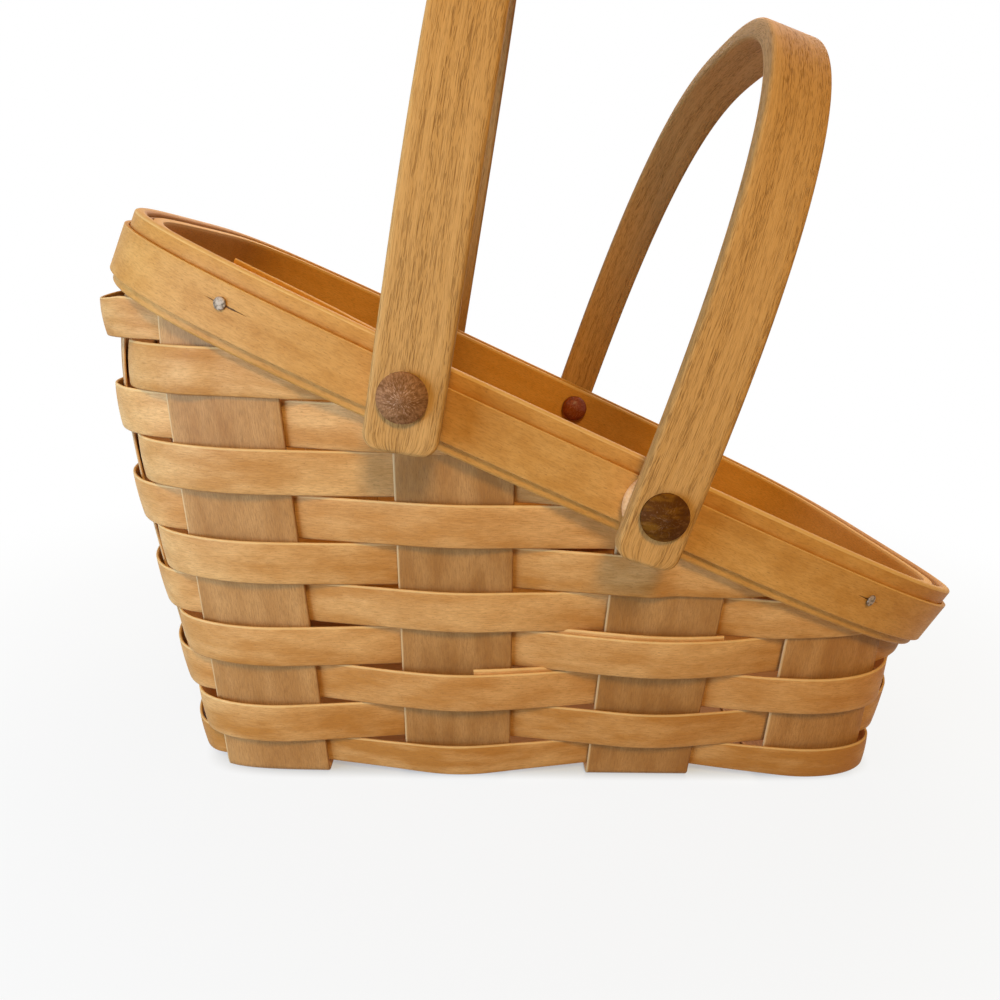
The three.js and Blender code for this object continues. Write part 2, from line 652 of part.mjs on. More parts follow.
for (const [name, pivot, lean, width, offset] of [
  ["tall_handle", tallPivot, TALL_HANDLE_LEAN, TALL_HANDLE_WIDTH, TALL_HANDLE_OFFSET],
  ["low_handle", lowPivot, LOW_HANDLE_LEAN, LOW_HANDLE_WIDTH, 0],
]) {
  const hinge = new THREE.Group();
  hinge.position.copy(pivot);
  hinge.rotation.y = lean;
  addPiece(hinge, name, handle(width, offset), HANDLE_COLOUR, 0.5);
  basket.add(hinge);
}

// Turned pieces: rivet, spacer and inner cap on each leg, as profiles of radius and distance from the middle.
function turned(profile) {
  return new THREE.LatheGeometry(
    profile.map(([radius, out]) => new THREE.Vector2(radius, out)),
    ROUND_SIDES,
  );
}

// Half width of the inner band's inside, at the farther edge of a cap on some pivot.
function capSeat(pivot) {
  const run = (Math.abs(pivot.x - RIM_SHIFT) + CAP_RADIUS) / Math.cos(RIM_TILT);
  return -rimPoint(rimRunAngle(run), innerBandInside, 0).y - SEAT_CLEARANCE;
}

function rivet(pivot) {
  const base = handleOutside + SEAT_CLEARANCE;
  const tip = capSeat(pivot) - (CAP_HEIGHT - CAP_WALL) + SEAT_CLEARANCE;
  const cone = (share) => [
    RIVET_HEAD_RADIUS * share,
    base + RIVET_HEAD_EDGE + (RIVET_HEAD_HEIGHT - RIVET_HEAD_EDGE) * (1 - share) ** 0.8,
  ];
  return turned([
    [0, tip],
    [SHANK_RADIUS, tip],
    [SHANK_RADIUS, base],
    [RIVET_HEAD_RADIUS - HANDLE_EDGE / 2, base],
    [RIVET_HEAD_RADIUS, base + HANDLE_EDGE / 2],
    ...[1, 0.9, 0.6, 0.25, 0].map(cone),
  ]);
}

function spacer() {
  const bore = holeRadius(SHANK_RADIUS, SEAT_CLEARANCE);
  const top = spacerFace + SPACER_THICKNESS;
  const round = (turn) => [
    SPACER_RADIUS - SPACER_ROUND * (1 - Math.cos(turn)),
    SPACER_ROUND * (1 - Math.sin(turn)),
  ];
  const corner = [Math.PI / 2, 0].map(round);
  return turned([
    [bore, spacerFace],
    ...corner.map(([radius, inset]) => [radius, spacerFace + inset]),
    ...corner.toReversed().map(([radius, inset]) => [radius, top - inset]),
    [bore, top],
    [bore, spacerFace],
  ]);
}

function cap(pivot) {
  const seat = capSeat(pivot);
  const bore = holeRadius(SHANK_RADIUS, SEAT_CLEARANCE);
  const dome = (turn) => [
    CAP_RADIUS * Math.cos(turn),
    seat - CAP_HEIGHT / 3 - ((2 * CAP_HEIGHT) / 3) * Math.sin(turn),
  ];
  return turned([
    ...[0.5, 0.36, 0.2, 0.08, 0].map((share) => dome(share * Math.PI)),
    [CAP_RADIUS, seat],
    [bore, seat],
    [bore, seat - (CAP_HEIGHT - CAP_WALL)],
    [0, seat - (CAP_HEIGHT - CAP_WALL)],
  ]);
}

for (const [endName, pivot] of [
  ["tall", tallPivot],
  ["low", lowPivot],
]) {
  for (const [sideName, side] of Object.entries(sides)) {
    const axle = new THREE.Group();
    axle.position.copy(pivot);
    axle.rotation.x = side > 0 ? Math.PI : 0;
    addPiece(axle, `${endName}_rivet_${sideName}`, rivet(pivot), RIVET_COLOUR, 0.5);
    addPiece(axle, `${endName}_spacer_${sideName}`, spacer(), SPACER_COLOUR, 0.45);
    addPiece(axle, `${endName}_cap_${sideName}`, cap(pivot), CAP_COLOUR, 0.25);
    basket.add(axle);
  }
}

export default basket;
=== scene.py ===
import bpy
import numpy as np
from mathutils import Matrix


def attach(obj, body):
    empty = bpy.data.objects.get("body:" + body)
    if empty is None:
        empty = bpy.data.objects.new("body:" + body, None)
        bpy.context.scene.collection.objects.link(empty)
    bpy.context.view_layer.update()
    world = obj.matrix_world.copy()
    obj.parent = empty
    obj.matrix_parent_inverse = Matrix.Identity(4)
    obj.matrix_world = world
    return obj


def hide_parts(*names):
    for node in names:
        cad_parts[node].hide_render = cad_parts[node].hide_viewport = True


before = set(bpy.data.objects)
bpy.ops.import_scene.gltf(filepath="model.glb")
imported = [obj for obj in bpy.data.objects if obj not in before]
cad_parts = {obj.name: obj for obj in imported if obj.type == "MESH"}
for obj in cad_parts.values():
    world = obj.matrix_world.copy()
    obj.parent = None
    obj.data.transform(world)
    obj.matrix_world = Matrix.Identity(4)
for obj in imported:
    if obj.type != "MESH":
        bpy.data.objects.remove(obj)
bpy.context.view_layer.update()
scene = bpy.context.scene
scene.view_settings.view_transform = "Standard"

# Camera: held close to the front wall, a little above the rim and looking down at the weave.
# The picture is square. Angles are in radians and places in metres.
yaw, pitch, roll = 0.034, 0.258, -0.028
camera_place = [-0.0236, -0.287, 0.1458]
picture_px, focal_px, sensor_mm = 1000, 780, 36
ahead = np.array([np.sin(yaw) * np.cos(pitch), np.cos(yaw) * np.cos(pitch), -np.sin(pitch)])
level = np.array([np.cos(yaw), -np.sin(yaw), 0.0])
down = np.cross(ahead, level)
right = np.cos(roll) * level + np.sin(roll) * down
up = np.sin(roll) * level - np.cos(roll) * down
camera_turn = np.eye(4)
camera_turn[:3, :3] = np.stack([right, up, -ahead], axis=1)
camera_turn[:3, 3] = camera_place
camera_data = bpy.data.cameras.new("camera")
camera_data.sensor_width = sensor_mm
camera_data.lens = sensor_mm * focal_px / picture_px
camera_data.clip_start = 0.01
camera = bpy.data.objects.new("camera", camera_data)
camera.matrix_world = Matrix(camera_turn.tolist())
scene.collection.objects.link(camera)
scene.camera = camera


# Light and table: a warm lamp high in front, a little to the right, a broad cool window low on the left,
# a soft light from behind, an even dim room, and a plain pale table top that fades to white.
def add_lamp(name, place, aim, size, power, tint):
    """A soft rectangular light at a place, turned so that it faces its aim. Its power is in watts."""
    data = bpy.data.lights.new(name, "AREA")
    data.shape = "RECTANGLE"
    data.size, data.size_y = size
    data.energy = power
    data.color = tint
    back = np.array(place, float) - np.array(aim, float)
    back /= np.linalg.norm(back)
    side = np.cross([0.0, 0.0, 1.0], back)
    side /= np.linalg.norm(side)
    turn = np.eye(4)
    turn[:3, :3] = np.stack([side, np.cross(back, side), back], axis=1)
    turn[:3, 3] = place
    lamp = bpy.data.objects.new(name, data)
    lamp.matrix_world = Matrix(turn.tolist())
    scene.collection.objects.link(lamp)


add_lamp("lamp", (0.17, -1.25, 1.16), (0.0, -0.09, 0.12), (0.34, 0.34), 14.9, (1.0, 0.82, 0.38))
add_lamp("window", (-0.43, -0.34, 0.12), (-0.08, -0.07, 0.08), (0.4, 0.3), 4.5, (0.33, 0.58, 1.0))
add_lamp("fill", (0.25, 0.75, 0.8), (0.0, 0.0, 0.08), (0.8, 0.6), 7.5, (1.0, 0.92, 0.8))


class Socket:
    """An output of a node. An operator on it adds a Math node to the same tree."""

    def __init__(self, nodes, socket):
        self.nodes = nodes
        self.socket = socket

    def combine(self, operation, first, second):
        return self.nodes.node("ShaderNodeMath", {"operation": operation}, {0: first, 1: second})

    def __add__(self, other):
        return self.combine("ADD", self, other)

    def __radd__(self, other):
        return self.combine("ADD", other, self)

    def __sub__(self, other):
        return self.combine("SUBTRACT", self, other)

    def __rsub__(self, other):
        return self.combine("SUBTRACT", other, self)

    def __mul__(self, other):
        return self.combine("MULTIPLY", self, other)

    def __rmul__(self, other):
        return self.combine("MULTIPLY", other, self)

    def __truediv__(self, other):
        return self.combine("DIVIDE", self, other)

    def __rtruediv__(self, other):
        return self.combine("DIVIDE", other, self)

    def __pow__(self, other):
        return self.combine("POWER", self, other)

    def __rpow__(self, other):
        return self.combine("POWER", other, self)

    def most(self, other):
        return self.combine("MAXIMUM", self, other)

    def least(self, other):
        return self.combine("MINIMUM", self, other)

    def size(self):
        return self.combine("ABSOLUTE", self, 0.0)

    def rise(self, low, high):
        """0 below low, 1 above high, and a smooth climb between."""
        settings = {"interpolation_type": "SMOOTHSTEP"}
        return self.nodes.node("ShaderNodeMapRange", settings, {0: self, 1: low, 2: high, 3: 0.0, 4: 1.0})


class Nodes:
    """The node tree of a material or a world. node() adds a node: type, settings, sockets."""

    def __init__(self, owner):
        owner.use_nodes = True
        self.owner = owner
        self.tree = owner.node_tree
        self.tree.nodes.clear()

    def node(self, kind, settings=None, sockets=None, output=0):
        added = self.tree.nodes.new(kind)
        for key, value in (settings or {}).items():
            setattr(added, key, value)
        for key, value in (sockets or {}).items():
            if isinstance(value, Socket):
                self.tree.links.new(value.socket, added.inputs[key])
            else:
                added.inputs[key].default_value = value
        return Socket(self, added.outputs[output]) if len(added.outputs) else None

    def mix(self, share, first, second):
        """A share of the way from the first colour to the second."""
        sockets = {0: share, 6: first, 7: second}
        return self.node("ShaderNodeMix", {"data_type": "RGBA"}, sockets, output=2)

    def seen(self):
        """1 for what the camera sees, directly or in a gloss or through glass."""
        direct = self.node("ShaderNodeLightPath", output="Is Camera Ray")
        gloss = self.node("ShaderNodeLightPath", output="Is Glossy Ray")
        through = self.node("ShaderNodeLightPath", output="Is Transmission Ray")
        return direct.most(gloss).most(through)


def paint(red, green, blue):
    """A colour as picked from a screen, 0 to 255, as the linear colour that a node takes."""
    share = np.array([red, green, blue]) / 255
    linear = np.where(share < 0.04045, share / 12.92, ((share + 0.055) / 1.055) ** 2.4)
    return (*linear.tolist(), 1.0)


white = (1.0, 1.0, 1.0, 1.0)
world = bpy.data.worlds.new("room")
scene.world = world
room = Nodes(world)
room_colour = room.mix(room.seen(), paint(109, 103, 84), white)
room_light = room.node("ShaderNodeBackground", sockets={"Color": room_colour, "Strength": 1.0})
room.node("ShaderNodeOutputWorld", sockets={"Surface": room_light})

table_reach = 4.0
# Under the basket and round its foot the table glows less, and near the basket a little less too, which
# leaves its shadow: the greyer table there is partly that real shadow and partly a painted shade.
shade_half_length, shade_half_width, shade_squareness = 0.1065, 0.0725, 10
glow_under, glow_beside, glow_far = 0.3, 0.58, 0.12
table_mesh = bpy.data.meshes.new("table")
table_corners = [(-1, -1, 0), (1, -1, 0), (1, 1, 0), (-1, 1, 0)]
table_mesh.from_pydata((np.array(table_corners) * table_reach).tolist(), [], [(0, 1, 2, 3)])
table = bpy.data.objects.new("table", table_mesh)
scene.collection.objects.link(table)
table_top = Nodes(bpy.data.materials.new("table_top"))
table_place = table_top.node("ShaderNodeTexCoord", output="Object")
table_distance = table_top.node("ShaderNodeVectorMath", {"operation": "LENGTH"}, {0: table_place}, "Value")
table_x, table_y = [
    table_top.node("ShaderNodeSeparateXYZ", sockets={0: table_place}, output=axis).size() for axis in "XY"
]
table_outline = (table_x / shade_half_length) ** shade_squareness
table_outline = table_outline + (table_y / shade_half_width) ** shade_squareness
table_open = table_outline.rise(0.4, 1.5)
table_paint = table_top.node(
    "ShaderNodeBsdfPrincipled", sockets={"Base Color": paint(182, 180, 176), "Roughness": 0.9}
)
table_glow = table_top.node("ShaderNodeEmission", sockets={"Color": white, "Strength": 1.0})
table_fade = table_open * glow_beside + glow_under + table_distance.rise(0.12, 0.36) * glow_far
table_mixed = table_top.node(
    "ShaderNodeMixShader", sockets={0: table_fade * table_top.seen(), 1: table_paint, 2: table_glow}
)
table_top.node("ShaderNodeOutputMaterial", sockets={"Surface": table_mixed})
table_mesh.materials.append(table_top.owner)

# Stakes: seven wide, thin maple splints that cross on the base and turn up into the walls.
# Four run from front to back and three from end to end. The rim clamps their heads.
# Lengths are in millimetres from here on, until a mesh is made.
rim_half_length, rim_half_width, rim_squareness = 135.7, 87.5, 4.1
base_half_length, base_half_width, base_squareness = 107.3, 72.0, 11.0
rim_tilt = np.radians(23.4)
rim_centre = np.array([1.1, 0.0, 103.6])
down_rim = np.array([np.cos(rim_tilt), 0.0, -np.sin(rim_tilt)])
across_rim = np.array([0.0, 1.0, 0.0])
square_to_rim = np.array([np.sin(rim_tilt), 0.0, np.cos(rim_tilt)])
outer_band_width = 20.0
rim_flare, flare_start = 0.17, 0.5
tall_end_belly, belly_power, belly_peak = 8.5, 6, 0.5824


def oval_point(angle, half_length, half_width, squareness):
    """Squared oval: the radius at a polar angle is the power mean that makes |x/a|^n + |y/b|^n one."""
    c, s = np.cos(angle), np.sin(angle)
    total = np.abs(c / half_length) ** squareness + np.abs(s / half_width) ** squareness
    radius = total ** (-1 / squareness)
    return radius * c, radius * s


def oval_normal(x, y, half_length, half_width, squareness):
    """Outward unit normal of that oval: the slope of |x/a|^n + |y/b|^n."""
    nx = np.sign(x) * np.abs(x / half_length) ** (squareness - 1) / half_length
    ny = np.sign(y) * np.abs(y / half_width) ** (squareness - 1) / half_width
    length = np.hypot(nx, ny)
    return nx / length, ny / length


def rim_point(angle, outward, rise):
    """Point of the slanted rim: the rim oval at an angle, moved out along its normal and up the band.
    At the low end the band flares, so it draws in from its top edge down."""
    x, y = oval_point(angle, rim_half_length, rim_half_width, rim_squareness)
    nx, ny = oval_normal(x, y, rim_half_length, rim_half_width, rim_squareness)
    flare_share = np.maximum(0, np.cos(angle) - flare_start) / (1 - flare_start)
    outward = outward + rim_flare * (rise - outer_band_width / 2) * flare_share**2
    flat_x, flat_y, rise = np.broadcast_arrays(x + nx * outward, y + ny * outward, rise)
    return (
        rim_centre
        + flat_x[..., None] * down_rim
        + flat_y[..., None] * across_rim
        + rise[..., None] * square_to_rim
    )


def wall_point(angle, height):
    """Wall: straight lines from the base oval to the lower edge of the rim, with a belly at the tall end,
    and from there on straight to its top edge. belly_peak is the largest share - share**belly_power."""
    angle, height = np.broadcast_arrays(np.asarray(angle, float), np.asarray(height, float))
    foot = rim_point(angle, 0.0, -outer_band_width / 2)
    base_x, base_y = oval_point(angle, base_half_length, base_half_width, base_squareness)
    share = height / foot[..., 2]
    belly = tall_end_belly * (share - share**belly_power) / belly_peak * np.maximum(0, -np.cos(angle))
    x = base_x + (foot[..., 0] - base_x) * share - belly
    y = base_y + (foot[..., 1] - base_y) * share
    below = np.stack([x, y, height], axis=-1)
    top = rim_point(angle, 0.0, outer_band_width / 2)
    above = foot + (top - foot) * ((height - foot[..., 2]) / (top[..., 2] - foot[..., 2]))[..., None]
    return np.where((height > foot[..., 2])[..., None], above, below)


def unit(vectors):
    """Vectors made one long."""
    return vectors / np.linalg.norm(vectors, axis=-1, keepdims=True)


def wall_normal(angle, height):
    """Outward normal of the wall, from its slopes round and up."""
    around = wall_point(angle + 1e-3, height) - wall_point(angle - 1e-3, height)
    upward = wall_point(angle, height + 0.5) - wall_point(angle, height - 0.5)
    return unit(np.cross(around, upward))


# Of each wall: the axis along it, the angle where its half turn starts, and whether it runs up the axis.
wall_turns = {
    "front": (0, np.pi, True),
    "low": (1, 1.5 * np.pi, True),
    "back": (0, 2 * np.pi, False),
    "tall": (1, 2.5 * np.pi, False),
}


def wall_angle(side, target, height):
    """Angle on one side at which the wall's x or y is the target, by halving the side's half turn."""
    axis, low, rising = wall_turns[side]
    target, height = np.broadcast_arrays(np.asarray(target, float), np.asarray(height, float))
    start = np.full(target.shape, low)
    end = start + np.pi
    for _ in range(40):
        middle = (start + end) / 2
        short = (wall_point(middle, height)[..., axis] < target) == rising
        start = np.where(short, middle, start)
        end = np.where(short, end, middle)
    return (start + end) / 2


def climb(value, low, high):
    """Smooth step from 0 at low to 1 at high."""
    share = np.clip((value - low) / (high - low), 0, 1)
    return share * share * (3 - 2 * share)


def add_tube(name, rings, grain, closed=False):
    """Mesh of closed rings of points joined in a row. grain holds a place along and across the wood for
    every corner, with one more ring and one more point than the rings where they close."""
    count, points = rings.shape[:2]
    spans = count if closed else count - 1
    i, j = np.meshgrid(np.arange(spans), np.arange(points), indexing="ij")
    here, after = i * points, (i + 1) % count * points
    turn = (j + 1) % points
    quads = np.stack([here + j, here + turn, after + turn, after + j], axis=-1).reshape(-1, 4)
    marks = np.stack([grain[i, j], grain[i, j + 1], grain[i + 1, j + 1], grain[i + 1, j]], axis=2)
    marks = marks.reshape(-1, 4, 2)
    if not closed:
        k = np.arange(points // 2 - 1)
        first = np.stack([points - 1 - k, points - 2 - k, k + 1, k], axis=-1)
        quads = np.concatenate([quads, first, first[:, ::-1] + (count - 1) * points])
        marks = np.concatenate([marks, grain[0][first], grain[-1][first[:, ::-1]]])
    return add_mesh(name, rings.reshape(-1, 3), quads, marks)


def add_mesh(name, points, quads, marks):
    """Object at the origin from corner points in millimetres. A body that is inside out is turned round."""
    corners = points[quads]
    volume = np.einsum("ij,ij->i", corners[:, 0], np.cross(corners[:, 1], corners[:, 2])).sum()
    volume += np.einsum("ij,ij->i", corners[:, 0], np.cross(corners[:, 2], corners[:, 3])).sum()
    if volume < 0:
        quads, marks = quads[:, ::-1], marks[:, ::-1]
    mesh = bpy.data.meshes.new(name)
    mesh.from_pydata((points / 1000).tolist(), [], quads.tolist())
    mesh.uv_layers.new(name="grain").data.foreach_set("uv", marks.astype(np.float32).ravel())
    mesh.polygons.foreach_set("use_smooth", np.ones(len(mesh.polygons), bool))
    mesh.set_sharp_from_angle(angle=0.7)
    piece = bpy.data.objects.new(name, mesh)
    scene.collection.objects.link(piece)
    return piece


def finish_piece(piece, finish, cut, body, node):
    """Gives a piece its wood, the cut it comes from (shade, warmth, seed), where a few shades and warmths
    also hold painted shade or painted light, and its place in the frame.
    """
    piece.data.materials.append(finish.owner)
    strip = piece.data.attributes.new("cut", "FLOAT_VECTOR", "POINT")
    strip.data.foreach_set("vector", np.tile(np.array(cut, np.float32), len(piece.data.vertices)))
    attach(piece, body)
    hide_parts(node)


def grain_grid(along, across):
    """Grain of a tube's corners: places along the wood for its rings, and across for a ring's points."""
    return np.stack(np.broadcast_arrays(along[:, None], across[None, :]), axis=-1)


def run_length(line):
    """Distance along a row of points, from its first."""
    steps = np.linalg.norm(np.diff(line, axis=0), axis=-1)
    return np.concatenate([[0.0], np.cumsum(steps)])


def splint_section(width, thickness, lines):
    """Places across a splint and half its thickness there: flat, with both edges rounded off."""
    edge, shoulder, flat = width / 2, width / 2 - 0.12, width / 2 - 0.35
    edge_share, shoulder_share = 0.35, 0.8
    place = np.concatenate([[-edge, -shoulder], np.linspace(-flat, flat, lines), [shoulder, edge]])
    half = np.full(len(place), thickness / 2)
    half[[0, -1]] *= edge_share
    half[[1, -2]] *= shoulder_share
    return place, half


def add_splint(name, middle, normal, place, half):
    """A thin strip: its middle surface, moved by half its thickness to both sides."""
    outer = middle + normal * half[:, None]
    inner = middle - normal * half[:, None]
    rings = np.concatenate([outer, inner[:, ::-1]], axis=1)
    along = run_length(middle[:, len(place) // 2])
    across = np.concatenate([place, place[::-1], place[:1]])
    return add_tube(name, rings, grain_grid(along, across))


stake_width, stake_thickness, stake_bend, stake_tuck = 32.0, 0.8, 2.5, 1.5
splint_clearance = 0.3
low_level = stake_thickness / 2
long_level = low_level + stake_thickness + splint_clearance
high_level = long_level + stake_thickness + splint_clearance
cross_feet = np.array([-0.772, -0.251, 0.271, 0.779]) * base_half_length
cross_heads = rim_centre + np.outer(np.array([-0.745, -0.2455, 0.241, 0.6515]) * rim_half_length, down_rim)
long_feet = np.array([-0.583, 0.0, 0.583]) * base_half_width
long_heads = np.array([-0.534, 0.0, 0.534]) * rim_half_width
tall_end_height = rim_centre[2] + rim_half_length * np.sin(rim_tilt)
stake_place, stake_half = splint_section(stake_width, stake_thickness, 13)
wall_steps, bend_steps = 70, 8


def cross_stake_at(order, height):
    """Place along the basket of a stake's middle: it leans from its foot to its head as it rises."""
    return cross_feet[order] + (cross_heads[order, 0] - cross_feet[order]) * height / cross_heads[order, 2]


def long_stake_at(order, height):
    """The same across the basket, for a stake that runs from end to end."""
    return long_feet[order] + (long_heads[order] - long_feet[order]) * height / tall_end_height


def stake_on_wall(side, stake_at, order, crease, outward):
    """One end of a stake from its head to its crease, and a quarter turn of the crease on to the base."""
    top = np.full(len(stake_place), rim_centre[2])
    for _ in range(12):
        angle = wall_angle(side, stake_at(order, top) + stake_place, top)
        top = rim_point(angle, 0.0, outer_band_width / 2 - stake_tuck)[..., 2]
    share = np.linspace(0, 1, wall_steps)[:, None]
    height = top + (crease - top) * share
    angle = wall_angle(side, stake_at(order, height) + stake_place, height)
    points, normals = wall_point(angle, height), wall_normal(angle, height)
    turn = np.linspace(0, np.pi / 2, bend_steps + 1)[1:, None, None]
    bend = outward * np.cos(turn) + np.array([0.0, 0.0, -1.0]) * np.sin(turn)
    bend = np.broadcast_to(bend, (bend_steps, len(stake_place), 3))
    centre = points[-1] - outward * stake_bend
    return np.concatenate([points, centre + bend * stake_bend]), np.concatenate([normals, bend])


def cross_stake(order):
    """Front wall, base, back wall. On the base it dips under or climbs over the middle long stake."""
    side_level, middle_level = (low_level, high_level) if order % 2 == 0 else (high_level, low_level)
    crease = side_level + stake_bend
    outward = np.array([0.0, -1.0, 0.0])
    front, front_normal = stake_on_wall("front", cross_stake_at, order, crease, outward)
    share = np.linspace(1, -1, 90)[1:-1, None]
    y = front[-1, :, 1] * share
    flat = stake_width / 2 + 2 * splint_clearance
    near = 1 - climb(np.abs(y), flat, long_feet[2] - flat)
    z = side_level + (middle_level - side_level) * near
    base = np.stack([np.broadcast_to(front[-1, :, 0], y.shape), y, z], axis=-1)
    base_normal = np.broadcast_to([0.0, 0.0, -1.0], base.shape)
    mirror = np.array([1.0, -1.0, 1.0])
    middle = np.concatenate([front, base, front[::-1] * mirror])
    return middle, np.concatenate([front_normal, base_normal, front_normal[::-1] * mirror])


def long_stake(order):
    """Tall end, base, low end. On the base the strip lies flat between the cross stakes."""
    crease = long_level + stake_bend
    outward = np.array([1.0, 0.0, 0.0])
    tall, tall_normal = stake_on_wall("tall", long_stake_at, order, crease, -outward)
    low, low_normal = stake_on_wall("low", long_stake_at, order, crease, outward)
    share = np.linspace(0, 1, 60)[1:-1, None, None]
    base = tall[-1] + (low[-1] - tall[-1]) * share
    base_normal = np.broadcast_to([0.0, 0.0, -1.0], base.shape)
    middle = np.concatenate([tall, base, low[::-1]])
    return middle, np.concatenate([tall_normal, base_normal, low_normal[::-1]])


def grain_places(finish):
    """Place along and across the grain in millimetres, and the piece's shade, warmth and seed."""
    marks = finish.node("ShaderNodeUVMap", {"uv_map": "grain"})
    along = finish.node("ShaderNodeSeparateXYZ", sockets={0: marks}, output="X")
    across = finish.node("ShaderNodeSeparateXYZ", sockets={0: marks}, output="Y")
    strip = finish.node("ShaderNodeAttribute", {"attribute_name": "cut"}, output="Vector")
    parts = [finish.node("ShaderNodeSeparateXYZ", sockets={0: strip}, output=axis) for axis in "XYZ"]
    return along, across, *parts


seed_spread = 17.0


def streaks(finish, along, across, seed, pitch_along, pitch_across, detail=3.0, roughness=0.55):
    """Noise drawn out along the grain, with the given pitch in millimetres each way."""
    places = {0: along / pitch_along, 1: across / pitch_across, 2: seed * seed_spread}
    vector = finish.node("ShaderNodeCombineXYZ", sockets=places)
    sockets = {"Vector": vector, "Scale": 1.0, "Detail": detail, "Roughness": roughness}
    return finish.node("ShaderNodeTexNoise", sockets=sockets)


def surface(finish, colour, roughness, height, depth, gloss=0.12, coat=0.0, metal=0.0):
    """Closes a material: colour, roughness, and a height in shares of a depth in millimetres as bump."""
    relief = {"Height": height, "Strength": 1.0, "Distance": depth / 1000}
    bump = finish.node("ShaderNodeBump", sockets=relief)
    sockets = {
        "Base Color": colour,
        "Roughness": roughness,
        "Normal": bump,
        "Specular IOR Level": gloss,
        "Coat Weight": coat,
        "Coat Roughness": 0.3,
        "Metallic": metal,
    }
    shader = finish.node("ShaderNodeBsdfPrincipled", sockets=sockets)
    finish.node("ShaderNodeOutputMaterial", sockets={"Surface": shader})


def splint_finish(name, pale_side, pale, deep, streak, edge, fibre_share):
    """Sliced maple: slow pale and deep blotches, fine fibres, short flecks and a satin surface.
    The cut edge at pale_side, a place across, is a sharp pale line, partly paler cut wood and partly a
    painted highlight where it catches the light, and the one opposite is darkened by a painted shadow."""
    finish = Nodes(bpy.data.materials.new(name))
    along, across, shade, warmth, seed = grain_places(finish)
    bands = streaks(finish, along, across, seed, 70.0, 9.0).rise(0.3, 0.7)
    cloud = streaks(finish, along, across, seed + 0.31, 16.0, 7.0, 3.0).rise(0.3, 0.7)
    fibres = streaks(finish, along, across, seed + 0.57, 2.6, 0.4, 4.0, 0.7)
    hairs = streaks(finish, along, across, seed + 0.83, 2.4, 0.22, 2.0).rise(0.5, 0.72)
    flecks = streaks(finish, along, across, seed + 0.11, 0.9, 0.28, 1.0).rise(0.62, 0.76)
    tone = bands * 0.45 + cloud * 0.45 + shade
    colour = finish.mix(tone.most(0.0).least(1.0), pale, deep)
    colour = finish.mix(warmth, colour, paint(214, 134, 66))
    colour = finish.mix(fibres.rise(0.36, 0.72) * fibre_share, colour, streak)
    colour = finish.mix(hairs * fibre_share * 0.6, colour, streak)
    colour = finish.mix(flecks * fibre_share * 0.8, colour, paint(122, 74, 36))
    half_width = abs(pale_side)
    to_pale = across * np.sign(pale_side) / half_width
    # Painted highlight: the edge at pale_side is made paler, partly as paler cut wood and partly for the
    # light it catches.
    pale_cut_and_highlight_edge = to_pale.rise(1 - 0.7 / half_width, 1 - 0.35 / half_width)
    colour = finish.mix(pale_cut_and_highlight_edge * 0.45, colour, edge)
    # Painted shadow: the opposite edge is darkened where the neighbouring strip shades it.
    painted_shadow_edge = (0.0 - to_pale).rise(1 - 0.5 / half_width, 1 - 0.2 / half_width)
    colour = finish.mix(painted_shadow_edge * 0.35, colour, paint(110, 64, 28))
    height = fibres * 0.7 - hairs * 0.4 - flecks * 0.3
    surface(finish, colour, 0.46 + fibres * 0.18 + flecks * 0.1, height, 0.06)
    return finish


# The last tone is the pale edge's colour: partly paler cut wood, partly a painted highlight.
stake_tones = (paint(200, 141, 80), paint(164, 105, 49), paint(128, 82, 44), paint(232, 186, 128))
stake_wood = splint_finish("stake_splint", -stake_width / 2, *stake_tones, fibre_share=0.4)
stake_cuts = [(0.1, 0.05, 0.13), (0.22, 0.0, 0.29), (0.3, 0.0, 0.41), (0.16, 0.1, 0.53)]
for order, cut in enumerate(stake_cuts):
    name = f"cross_stake_{order + 1}"
    stake = add_splint(f"{name}_wood", *cross_stake(order), stake_place, stake_half)
    finish_piece(stake, stake_wood, cut, "basket", name)
long_cuts = {"front": (0.2, 0.05, 0.67), "middle": (0.1, 0.1, 0.71), "back": (0.28, 0.0, 0.89)}
for order, (side, cut) in enumerate(long_cuts.items()):
    name = f"long_stake_{side}"
    stake = add_splint(f"{name}_wood", *long_stake(order), stake_place, stake_half)
    finish_piece(stake, stake_wood, cut, "basket", name)

# Weavers: eleven rows of half-inch maple splint, woven outside one stake and inside the next.
# Rows one to four are whole rings with lapped ends. The rest are cut along the rim and end behind it.
weaver_width, weaver_thickness, row_gap, first_lift = 12.7, 0.8, 0.4, 0.4
weave_slack, slack_lost_per_row, press_reach = 1.5, 0.09, 4.0
sway_height, crown_height, crown_sink = 0.14, 0.22, 0.1
narrow_cut, narrow_wave, least_width = 2.0, 0.9, 2.0
hug = (stake_thickness + weaver_thickness) / 2 + splint_clearance
wave_height = 2 * hug
cross_count, long_count = len(cross_feet), len(long_feet)
stations = 2 * (cross_count + long_count)
low_middle = cross_count + (long_count - 1) / 2
tall_middle = low_middle + stations / 2
weave_tuck = 0.8
loose_row, loose_station, loose_reach = 11, stations - 0.75, 0.4
loose_sag, loose_gap, loose_lean = 2.2, 1.4, 2.8
# Of a lapped row: the stake that its ends lie on, and where the first and last end are cut from there.
laps = {1: (9.0, -1.0, 1.0), 2: (8.0, -1.0, 1.0), 3: (1.0, 0.12, 1.0), 4: (2.0, -1.0, 0.36)}
turned_lap_row, lap_peek = 4, 1.15


